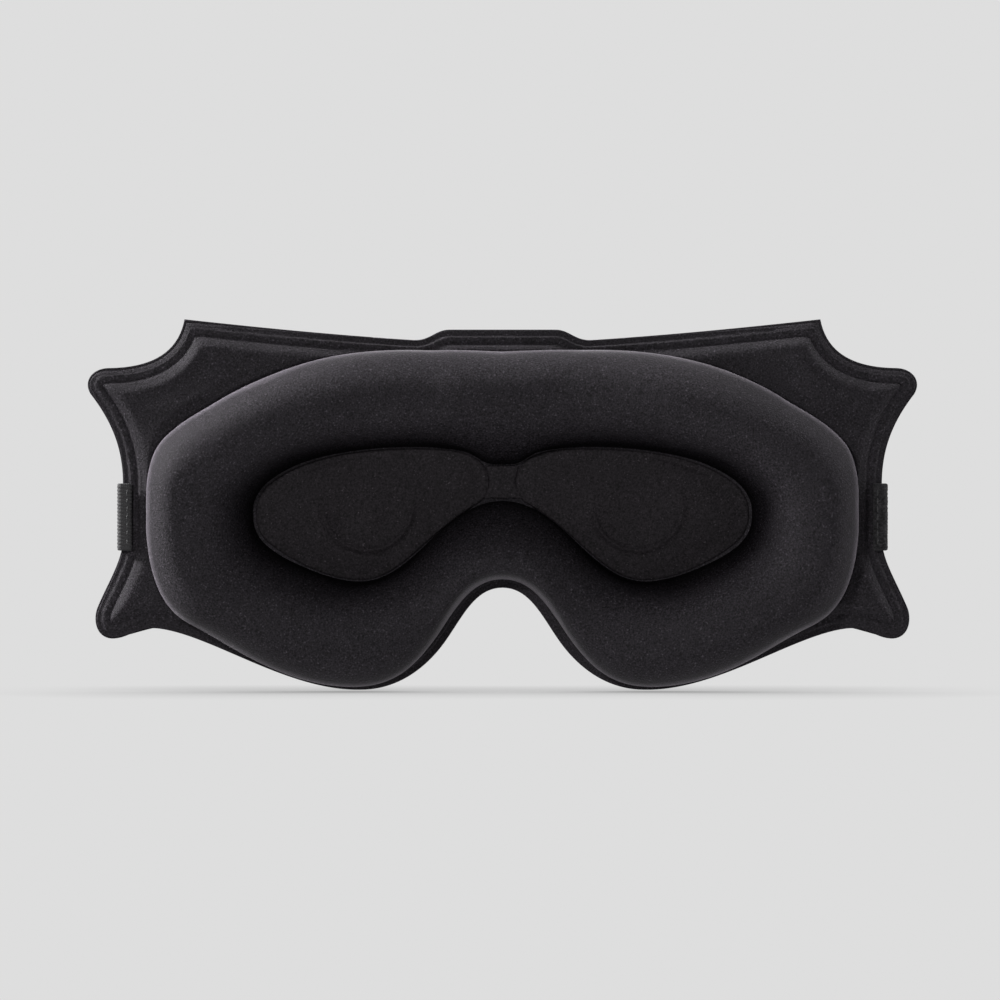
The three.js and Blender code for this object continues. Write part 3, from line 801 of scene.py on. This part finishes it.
def cushion_rows(thinner=0.0):
    """Rows of the ring cushion from its outer foot, over the crest, to its inner foot."""
    outer = inset(ring, thinner)
    inner = inset(opening, -thinner)
    facing, _, _ = outward(outer)
    facing = smooth_round(facing, 6)
    facing /= np.linalg.norm(facing, axis=1)[:, None]
    top = cushion_crest(outer) - thinner
    crest_share = CREST_SHARE + BROW_SHOULDER * ease(facing[:, 1] * 1.4)
    rows = []
    for angle in np.linspace(0, math.pi / 2, 18):
        share = crest_share * (1 - math.cos(angle))
        up = math.sin(angle) ** 0.85
        loop = blend_loops(outer, smooth_round(inner, CREST_SOFTNESS), share)
        loop = loop + facing * SIDE_BULGE * math.sin(2 * angle) * (1 - 0.4 * angle)
        rows.append(lift(loop, -(CUSHION_FOOT + up * top)))
    for t in np.linspace(0, 1, 34)[1:]:
        along = math.sin(t * math.pi / 2) ** 0.9
        up = (1 - along**2.4) ** 0.72
        target = smooth_round(inner, CREST_SOFTNESS * up)
        loop = blend_loops(outer, target, crest_share + (1 - crest_share) * along)
        rows.append(lift(loop, -(CUSHION_FOOT + up * top)))
    return rows


def cushion_base(thinner=0.0):
    """The flat underside, sewn to the lining, from the inner foot back to the outer one."""
    outer = inset(ring, thinner)
    inner = inset(opening, -thinner)
    return [lift(blend_loops(outer, inner, t), -SEWN_DEPTH) for t in (1, 0.97, 0.5, 0.03, 0)]


def hollow_at(row, share):
    """How deep inside the opening a row's points lie: 0 up to the crest, 1 at the inner foot. This sets the painted
    shade on the cushion's inner wall.
    """
    depth = 1 + (row[:, 1] + CUSHION_FOOT) / cushion_crest(row[:, [0, 2]])
    return np.clip(depth, 0, 1) * (share > 0.36)


def ring_cushion():
    rows = cushion_rows()
    rows = settle(rows, lambda t: t < 0.06 or t > 0.94, -1, row_step=3, spare=0.03, cap=0.7)
    base = cushion_base()
    piece = rows_to_piece("ring_cushion_cloth", rows + base, fabric, joined=True)
    # Painted shade: the fabric's colour darkens down the inner wall by how deep each point lies; the hidden base is
    # marked fully shaded.
    hollow = [hollow_at(row, index / len(rows)) for index, row in enumerate(rows)]
    paint_hollow_shade(piece, hollow + [np.ones(len(row)) for row in base])
    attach(piece, "mask")
    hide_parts("cushion_cover")


# ---------------------------------------------------------------------------
# Eye pads and bridge
# ---------------------------------------------------------------------------

EYE_DIMPLE = np.array([39.0, 3.5])
DIMPLE_RADIUS = 12.5
PAD_TUCK = 0.6          # how far the pads run under the cushion's foot


def pad_face(points, edge, side):
    """Depth of an eye pad's face: rounded edge, slight crown and a shallow round dimple."""
    rim = 1.15 * np.sqrt(1 - (1 - np.clip(edge / 0.7, 0, 1)) ** 2)
    crown = (PAD_TOP - 1.2) * ease(edge / 15)
    x = points[:, 0] * side
    away = np.hypot(x - EYE_DIMPLE[0], points[:, 1] - EYE_DIMPLE[1])
    lower = ease((EYE_DIMPLE[1] + 5 - points[:, 1]) / 9)
    dimple = 0.95 * ease((DIMPLE_RADIUS - away) / 5) * lower
    lip = 0.9 * np.exp(-((away - DIMPLE_RADIUS - 0.6) / 0.75) ** 2) * lower
    fold_at = 15.9 - (x - 49.6) * 0.31
    fold = 0.4 * np.exp(-((points[:, 1] - fold_at) / 0.8) ** 2) * ease((x - 36) / 6) * ease((62 - x) / 8)
    return -(rim + crown - dimple + lip - fold * ease(edge / 2))


def eye_pad(side, name, node):
    outline = np.vstack([stretch(points, PAD_STEPS) for points in EYE_PAD.values()])
    outline = inset(outline, -PAD_TUCK) * [side, 1]
    middle = np.array([38.0 * side, 1.0])
    rows = [lift(outline, -0.02)]
    for t in np.append(np.linspace(0.004, 0.1, 8), np.linspace(0.12, 0.985, 44)):
        loop = blend_loops(outline, middle, t)
        face = pad_face(loop, distance_to(loop, outline), side)
        rows.append(lift(loop, face + ripple(lift(loop, 0), 6.5, 11 + side) * 0.09 * min(t * 8, 1)))
    rows[8:] = settle(rows[8:], lambda t: t < 0.03, -1, row_step=4, station_step=6, pressure=2, cap=0.4)
    tip = rows[-1].mean(0)
    under = [*middle[:1], -0.02, middle[1]]
    piece = rows_to_piece(name, rows, pad_fabric, first_tip=under, last_tip=tip)
    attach(piece, "mask")
    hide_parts(node)


BRIDGE_WAIST = 3.8       # half its width at the middle
FLARE_BELOW = 2.4        # how much wider each half is at the lower end
FLARE_ABOVE = 1.0


def bridge():
    """A soft strip over the nose, waisted between the pads."""
    low, high = drawn_box("bridge_strip")
    rows = []
    for z in np.linspace(low.z, high.z, 24):
        from_middle = (2 * z - low.z - high.z) / (high.z - low.z)
        half = BRIDGE_WAIST + (FLARE_ABOVE if from_middle > 0 else FLARE_BELOW) * from_middle**2
        angle = np.linspace(0, 2 * math.pi, 40, endpoint=False)
        x = half * np.sign(np.cos(angle)) * np.abs(np.cos(angle)) ** 0.45
        y = 0.62 * np.sign(np.sin(angle)) * np.abs(np.sin(angle)) ** 0.8
        rows.append(np.column_stack([x, y - 0.65, np.full(40, z)]))
    ends = [rows[0].mean(0), rows[-1].mean(0)]
    piece = rows_to_piece("bridge_strip_cloth", rows, pad_fabric, first_tip=ends[0], last_tip=ends[1])
    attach(piece, "mask")
    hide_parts("bridge_strip")


# ---------------------------------------------------------------------------
# Webbing
# ---------------------------------------------------------------------------

RIB_PITCH = 1.02


def webbing_section(fuzzy):
    """The webbing's outline across its width: (offset from its middle surface, z)."""
    half = STRAP_WIDTH / 2
    z = np.linspace(-half + 0.35, half - 0.35, 150)
    body = STRAP_THICKNESS / 2 - (0.04 if fuzzy else 0.13) * np.cos(z / RIB_PITCH * math.pi) ** 2
    tip_angle = np.linspace(-math.pi / 2, math.pi / 2, 9)[1:-1]
    top = np.column_stack([0.5 * np.cos(tip_angle[::-1] + math.pi / 2), half - 0.35 + 0.35 * np.cos(tip_angle)])
    front = np.column_stack([body, z])
    back = np.column_stack([-body[::-1], z[::-1]])
    bottom = np.column_stack([-top[:, 0], -top[:, 1]])
    return np.vstack([front, top[np.argsort(-top[:, 0])], back, bottom[np.argsort(bottom[:, 0])]])


def arc(centre, radius, start, end, count):
    angle = np.radians(np.linspace(start, end, count))
    return np.column_stack([centre[0] + radius * np.cos(angle), centre[1] + radius * np.sin(angle)])


def even_path(points, pitch):
    """A path's points at an even pitch, with its first and last kept."""
    points = np.asarray(points, float)
    along = np.append(0, np.cumsum(np.linalg.norm(np.diff(points, axis=0), axis=1)))
    at = np.linspace(0, along[-1], max(int(along[-1] / pitch), 2) + 1)
    return np.column_stack([np.interp(at, along, points[:, i]) for i in (0, 1)])


def ribbon(name, path, material, fuzzy, seed, open_start=False, open_end=False):
    """Webbing swept along a path in the XY plane, its width along z."""
    section = webbing_section(fuzzy)
    along = np.gradient(path, axis=0)
    along /= np.linalg.norm(along, axis=1)[:, None]
    normal = np.column_stack([-along[:, 1], along[:, 0]])
    rows = []
    for index, (point, side) in enumerate(zip(path, normal)):
        from_end = min(index if not open_start else 99, len(path) - 1 - index if not open_end else 99)
        pinch = (0.55, 0.85, 0.97)[from_end] if from_end < 3 else 1
        offset = section[:, 0] * pinch
        xy = point + side * offset[:, None]
        row = np.column_stack([xy[:, 0], xy[:, 1], section[:, 1]])
        if fuzzy:
            lift_by = ripple(row, 0.9, seed) * 0.09 + ripple(row, 0.45, seed + 1) * 0.05
            row[:, :2] += side * (np.sign(offset) * lift_by)[:, None]
        rows.append(row)
    # a row close to each open end keeps its cap from shading the webbing where two pieces meet
    if open_start:
        rows.insert(1, rows[0] * 0.95 + rows[1] * 0.05)
    if open_end:
        rows.insert(-1, rows[-1] * 0.95 + rows[-2] * 0.05)
    return rows_to_piece(name, rows, material, first_tip=rows[0].mean(0), last_tip=rows[-1].mean(0))


def climb(side, face_y, start, end):
    """The strap's middle line between two distances from its first pivot, as it leaves the edge."""
    pivot = drawn_joint(f"{'left' if side < 0 else 'right'}_strap_swing")
    link = drawn_box(f"{'left' if side < 0 else 'right'}_strap_link")
    link_start = abs(pivot.x) - max(abs(link[0].x), abs(link[1].x))
    low_y = link[0].y + STRAP_THICKNESS / 2
    rise_end = 28.0
    distance = np.linspace(start, end, 40)
    share = np.clip((distance - link_start) / (rise_end - link_start), 0, 1)
    soft = 0.35 * share + 0.65 * ease(share)
    y = low_y + (face_y + STRAP_THICKNESS / 2 - low_y) * soft
    return np.column_stack([side * (abs(pivot.x) - distance), y])


def strap_base(side, material, fuzzy):
    """The webbing from its sewn end, round the mask's edge and over the strap's two pivots."""
    word = "left" if side < 0 else "right"
    tab = drawn_box(f"{word}_strap_tab")
    run = drawn_box("left_strap_run" if side < 0 else "right_strap")
    face_y = run[1].y - STRAP_THICKNESS
    front_y = tab[0].y + STRAP_THICKNESS / 2
    sewn_x = min(abs(tab[0].x), abs(tab[1].x))
    wrap_x = 110.15 * side
    radius = abs(front_y)
    turn = arc((0, 0), 1, -90, 90, 24) * [0.52, radius]
    turn = turn * [side, 1] + [wrap_x + 0.15 * side, 0]
    handover = 8.4
    up = climb(side, face_y, 1.6, handover)
    path = np.vstack([[[sewn_x * side, front_y]], turn, up[1:]])
    root = ribbon(f"{word}_strap_wrap_cloth", even_path(path, 0.3), material, fuzzy, 5 + side, open_end=True)
    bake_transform(root)
    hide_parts(f"{word}_strap_tab", f"{word}_strap_link")
    path = climb(side, face_y, handover, 20)
    link = ribbon(
        f"{word}_strap_link_cloth", even_path(path, 0.35), material, fuzzy, 5 + side, True, True
    )
    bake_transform(link)
    return climb(side, face_y, 20, 30), face_y + STRAP_THICKNESS / 2


def left_strap():
    path, layer = strap_base(-1, webbing, fuzzy=False)
    fold = drawn_joint("left_tail_unfold")
    tail = drawn_box("left_strap_tail")
    half_gap = tail[0].y + STRAP_THICKNESS / 2 - fold.y
    turn = arc((fold.x, fold.y), half_gap, -90, 90, 16)
    path = np.vstack([path, turn, [[tail[0].x, fold.y + half_gap]]])
    piece = ribbon("left_strap_cloth", even_path(path, 0.5), webbing, False, 2, open_start=True)
    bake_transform(piece)
    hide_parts("left_strap_run", "left_strap_tail")


def right_strap():
    path, layer = strap_base(1, pile, fuzzy=True)
    low, high = drawn_box("right_strap")
    hem_y = low.y + STRAP_THICKNESS / 2
    hem_x = low.x + 11
    radius = (layer - hem_y) / 2
    turn = arc((low.x + radius, layer - radius), radius, 90, 270, 12)
    path = np.vstack([path, turn, [[hem_x, hem_y]]])
    piece = ribbon("right_strap_cloth", even_path(path, 0.5), pile, True, 9, open_start=True)
    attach(piece, "right_strap")
    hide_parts("right_strap")


# ---------------------------------------------------------------------------
# Stitches and hooks
# ---------------------------------------------------------------------------


def stitch_mesh(name, stitches, face_y, outward_y, radius, material=None):
    """Plump stitches between pairs of (x, z) points, dipping into the cloth at their ends."""
    points = []
    faces = []
    around = 8
    stations = 7
    for start, end in stitches:
        start, end = np.array(start, float), np.array(end, float)
        run = end - start
        across = np.array([-run[1], run[0]]) / np.linalg.norm(run)
        base = len(points)
        for step in range(stations):
            t = step / (stations - 1)
            swell = radius * (0.45 + 0.55 * math.sin(math.pi * t))
            middle = start + run * t
            height = face_y + outward_y * radius * (1.3 * math.sin(math.pi * t) - 0.5)
            for k in range(around):
                angle = 2 * math.pi * k / around
                spot = middle + across * swell * math.cos(angle)
                points.append((spot[0], height + swell * math.sin(angle), spot[1]))
        for step in range(stations - 1):
            for k in range(around):
                a = base + step * around
                j = (k + 1) % around
                faces.append((a + k, a + j, a + around + j, a + around + k))
        faces.append(tuple(base + k for k in range(around))[::-1])
        faces.append(tuple(base + (stations - 1) * around + k for k in range(around)))
    return new_object(name, points, faces, [material or thread])


def stitch_line(start, end, pitch):
    """Pairs of points for a straight row of stitches with small gaps between them."""
    start, end = np.array(start, float), np.array(end, float)
    count = max(int(round(np.linalg.norm(end - start) / pitch)), 1)
    step = (end - start) / count
    return [(start + step * (i + 0.06), start + step * (i + 0.94)) for i in range(count)]


def tab_stitches(side):
    word = "left" if side < 0 else "right"
    low, high = drawn_box(f"{word}_tab_stitching")
    x = (low.x + high.x) / 2
    pairs = stitch_line((x, low.z), (x, high.z), 2.35)
    tab = drawn_box(f"{word}_strap_tab")
    piece = stitch_mesh(f"{word}_tab_stitches", pairs, tab[0].y + 0.06, -1, 0.19)
    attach(piece, "mask")
    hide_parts(f"{word}_tab_stitching")


def hem_stitches():
    low, high = drawn_box("right_strap")
    half = STRAP_WIDTH / 2 - 1.4
    pairs = []
    for x in (low.x + 2.2, low.x + 9.2):
        pairs += stitch_line((x, -half), (x, half), 2.3)
    for z in (-half, half):
        pairs += stitch_line((low.x + 2.2, z), (low.x + 9.2, z), 2.3)
    piece = stitch_mesh("right_hem_stitches", pairs, high.y, 1, 0.24)
    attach(piece, "right_strap")


def rounded_plate(name, low, high, corner, material):
    """A thin plate in the XZ plane with round corners and a softened top edge."""
    centre = np.array([(low.x + high.x) / 2, (low.z + high.z) / 2])
    half = np.array([(high.x - low.x) / 2, (high.z - low.z) / 2])
    outline = []
    for sx, sz, start in ((1, 1, 0), (-1, 1, 90), (-1, -1, 180), (1, -1, 270)):
        middle = centre + (half - corner) * [sx, sz]
        outline.append(arc(middle, corner, start, start + 90, 8))
    outline = np.vstack(outline)
    rows = [lift(outline, low.y)]
    for share, drop in ((0, 0.16), (0.15, 0.04), (0.35, 0)):
        rows.append(lift(centre + (outline - centre) * (1 - share / half.min()), high.y - drop))
    ends = [np.array([centre[0], y, centre[1]]) for y in (low.y, high.y)]
    return rows_to_piece(name, rows, material, first_tip=ends[0], last_tip=ends[1])


def hook_tape():
    """A woven backing with a field of bent nylon hooks, and its frame of stitches."""
    low, high = drawn_box("hook_tape")
    frame_low, frame_high = drawn_box("hook_tape_stitching")
    backing_top = frame_low.y - 0.3
    backing = rounded_plate(
        "hook_tape_backing", Vector((low.x, low.y - 0.28, low.z)), Vector((high.x, backing_top, high.z)), 1.6, nylon
    )
    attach(backing, "left_tail")
    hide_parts("hook_tape")

    rng = np.random.default_rng(7)
    points = []
    faces = []
    pitch = 1.15
    around = 6
    for column, x in enumerate(np.arange(low.x + 2.6, high.x - 2.4, pitch)):
        for z in np.arange(low.z + 2.7, high.z - 2.5, pitch):
            lean = (1 if column % 2 else -1) * 0.85
            foot = np.array([x, z]) + rng.uniform(-0.08, 0.08, 2)
            tall = high.y - backing_top - rng.uniform(0, 0.08)
            base = len(points)
            bends = [(0, 0, 0.2), (0.0, 0.5, 0.15), (0.12, 0.82, 0.14), (0.34, 1.0, 0.13), (0.52, 0.86, 0.08)]
            for shift, up, radius in bends:
                for k in range(around):
                    angle = 2 * math.pi * k / around
                    points.append((
                        foot[0] + lean * shift + radius * math.cos(angle),
                        backing_top - 0.05 + (tall + 0.05 - 0.12) * up + 0.3 * radius * math.cos(angle) * -lean * up,
                        foot[1] + radius * math.sin(angle),
                    ))
            for step in range(len(bends) - 1):
                for k in range(around):
                    a = base + step * around
                    j = (k + 1) % around
                    faces.append((a + k, a + j, a + around + j, a + around + k))
            faces.append(tuple(base + k for k in range(around))[::-1])
            faces.append(tuple(base + (len(bends) - 1) * around + k for k in range(around)))
    hooks = new_object("hook_field", points, faces, [nylon])
    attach(hooks, "left_tail")

    margin = 0.45
    x0, x1 = frame_low.x + margin, frame_high.x - margin
    z0, z1 = frame_low.z + margin, frame_high.z - margin
    pairs = []
    for z in (z0, z1):
        pairs += stitch_line((x0, z), (x1, z), 2.4)
    for x in (x0, x1):
        pairs += stitch_line((x, z0), (x, z1), 2.4)
    piece = stitch_mesh("hook_tape_stitches", pairs, backing_top, 1, 0.22)
    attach(piece, "left_tail")
    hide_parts("hook_tape_stitching")


# ---------------------------------------------------------------------------
# Foam under the cloth
# ---------------------------------------------------------------------------

UNDER_CLOTH = 2.2       # gap between the foam and the cloth's outer face
FOAM_SHARE = 0.45       # of the cover's rise that the core foam fills


def cushion_foam():
    rows = [row + [0, -0.6, 0] for row in cushion_rows(UNDER_CLOTH) + cushion_base(UNDER_CLOTH)]
    rows = [row * [1, 0.9, 1] for row in rows]
    piece = rows_to_piece("cushion_foam_core", rows, foam, joined=True)
    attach(piece, "mask")
    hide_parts("cushion_foam")


def core_foam():
    """The thin sheet between the outer cover and the lining."""
    start = inset(panel, BORDER + 3.5)
    loops = [blend_loops(start, ring, t) for t in np.linspace(0, 1, 14)]
    loops += [blend_loops(ring, opening, t) for t in np.linspace(0, 1, 12)[1:]]
    loops += [blend_loops(opening, MIDDLE, t) for t in np.linspace(0, 0.94, 8)[1:]]
    outside = [lift(loop, COVER_NEAR + FOAM_SHARE * cover_rise(loop)) for loop in loops]
    inside = [lift(loop, COVER_NEAR) for loop in loops]
    rows = outside[::-1] + inside
    piece = rows_to_piece(
        "core_foam_sheet", rows, foam, first_tip=outside[-1].mean(0), last_tip=inside[-1].mean(0)
    )
    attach(piece, "mask")
    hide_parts("core_foam")


# ---------------------------------------------------------------------------
# Studio
# ---------------------------------------------------------------------------

BACKGROUND = 0.73        # linear value of the plain pale grey behind the mask
IMAGE_SIDE_MM = 289.2    # width of the view in the mask's plane
VIEW_CENTRE = (-0.7, 4.9)   # x, z that the view is centred on, in the drawing frame
CAMERA_DISTANCE = 1.7
AMBIENT = 0.09
GLOW = 17.0
GLOW_BAND = (0.0, 0.04, 0.14, 0.2)   # how far behind the mask's plane it comes from
FLOOR_GAP = 0.0004       # metres
SHADOW_REACH = 0.06      # metres
SHADOW_DEPTH = 0.45
FLOOR_BOUNCE = 0.85       # share of the floor's own tone that lights the mask


def world():
    """A plain grey background. The mask sees it dim, but for a glow round it from just behind."""
    scene_world = bpy.data.worlds.new("studio")
    bpy.context.scene.world = scene_world
    scene_world.use_nodes = True
    tree = scene_world.node_tree
    tree.nodes.clear()
    out = tree.nodes.new("ShaderNodeOutputWorld")
    seen = tree.nodes.new("ShaderNodeBackground")
    seen.inputs["Color"].default_value = (BACKGROUND, BACKGROUND, BACKGROUND, 1)
    direction = tree.nodes.new("ShaderNodeTexCoord")
    split = tree.nodes.new("ShaderNodeSeparateXYZ")
    band = tree.nodes.new("ShaderNodeValToRGB")
    ramp = band.color_ramp
    ramp.interpolation = "EASE"
    for position, bright in zip(GLOW_BAND, (0, 1, 1, 0)):
        stop = ramp.elements.new(position)
        stop.color = (bright, bright, bright, 1)
    ramp.elements.remove(ramp.elements[0])
    ramp.elements[-1].color = (0, 0, 0, 1)
    strength = tree.nodes.new("ShaderNodeMapRange")
    strength.inputs["To Min"].default_value = AMBIENT
    strength.inputs["To Max"].default_value = GLOW
    light = tree.nodes.new("ShaderNodeBackground")
    path = tree.nodes.new("ShaderNodeLightPath")
    mix = tree.nodes.new("ShaderNodeMixShader")
    tree.links.new(direction.outputs["Generated"], split.inputs[0])
    tree.links.new(split.outputs["Y"], band.inputs["Fac"])
    tree.links.new(band.outputs["Color"], strength.inputs["Value"])
    tree.links.new(strength.outputs["Result"], light.inputs["Strength"])
    tree.links.new(path.outputs["Is Camera Ray"], mix.inputs[0])
    tree.links.new(light.outputs[0], mix.inputs[1])
    tree.links.new(seen.outputs[0], mix.inputs[2])
    tree.links.new(mix.outputs[0], out.inputs["Surface"])


def floor():
    """A plain pale floor of the background's own grey, with a soft shadow where the mask touches."""
    side = 6.0
    mesh = bpy.data.meshes.new("floor")
    corners = [(-side, -side, 0), (side, -side, 0), (side, side, 0), (-side, side, 0)]
    mesh.from_pydata(corners, [], [(0, 1, 2, 3)])
    piece = bpy.data.objects.new("floor", mesh)
    bpy.context.scene.collection.objects.link(piece)
    piece.location.z = cad_bounds[0][2] - FLOOR_GAP
    material = bpy.data.materials.new("floor_paper")
    material.use_nodes = True
    tree = material.node_tree
    tree.nodes.remove(tree.nodes["Principled BSDF"])
    openness = tree.nodes.new("ShaderNodeAmbientOcclusion")
    openness.samples = 12
    openness.inputs["Distance"].default_value = SHADOW_REACH
    shade = tree.nodes.new("ShaderNodeMapRange")
    shade.inputs["To Min"].default_value = BACKGROUND * SHADOW_DEPTH
    shade.inputs["To Max"].default_value = BACKGROUND
    glow = tree.nodes.new("ShaderNodeEmission")
    seen = tree.nodes.new("ShaderNodeLightPath")
    tone = tree.nodes.new("ShaderNodeMapRange")
    tone.inputs["To Min"].default_value = BACKGROUND * FLOOR_BOUNCE
    tree.links.new(seen.outputs["Is Camera Ray"], tone.inputs["Value"])
    tree.links.new(openness.outputs["AO"], shade.inputs["Value"])
    tree.links.new(shade.outputs["Result"], tone.inputs["To Max"])
    tree.links.new(tone.outputs["Result"], glow.inputs["Strength"])
    tree.links.new(glow.outputs[0], tree.nodes["Material Output"].inputs["Surface"])
    mesh.materials.append(material)


def area_light(name, where, target, power, size):
    data = bpy.data.lights.new(name, "AREA")
    data.energy = power
    data.size = size
    lamp = bpy.data.objects.new(name, data)
    bpy.context.scene.collection.objects.link(lamp)
    lamp.location = where
    lamp.rotation_euler = (Vector(target) - Vector(where)).to_track_quat("-Z", "Y").to_euler()


def camera(centre):
    data = bpy.data.cameras.new("camera")
    data.sensor_width = 36
    data.lens = data.sensor_width * CAMERA_DISTANCE / (IMAGE_SIDE_MM * MM)
    data.clip_end = 50
    piece = bpy.data.objects.new("camera", data)
    bpy.context.scene.collection.objects.link(piece)
    piece.location = centre - Vector((0, CAMERA_DISTANCE, 0))
    piece.rotation_euler = (math.pi / 2, 0, 0)
    bpy.context.scene.camera = piece


def studio():
    x, z = VIEW_CENTRE
    centre = Vector(place([x, 0, z]))
    world()
    floor()
    camera(centre)
    area_light("key", centre + Vector((-0.42, -1.4, 0.4)), centre, 8.0, 0.18)
    area_light("graze", centre + Vector((-1.15, 0.0, 0.6)), centre, 32.0, 0.22)
    area_light("front_fill", centre + Vector((0.1, -1.7, 0.0)), centre, 2.3, 0.5)
    area_light("back_fill", centre + Vector((-0.3, 1.5, 0.9)), centre, 14.0, 0.8)
    bpy.context.scene.view_settings.view_transform = "Standard"


outer_cover()
inner_lining()
ring_cushion()
eye_pad(-1, "left_eye_pad_cloth", "left_eye_pad")
eye_pad(1, "right_eye_pad_cloth", "right_eye_pad")
bridge()
left_strap()
right_strap()
tab_stitches(-1)
tab_stitches(1)
hem_stitches()
hook_tape()
cushion_foam()
core_foam()
studio()
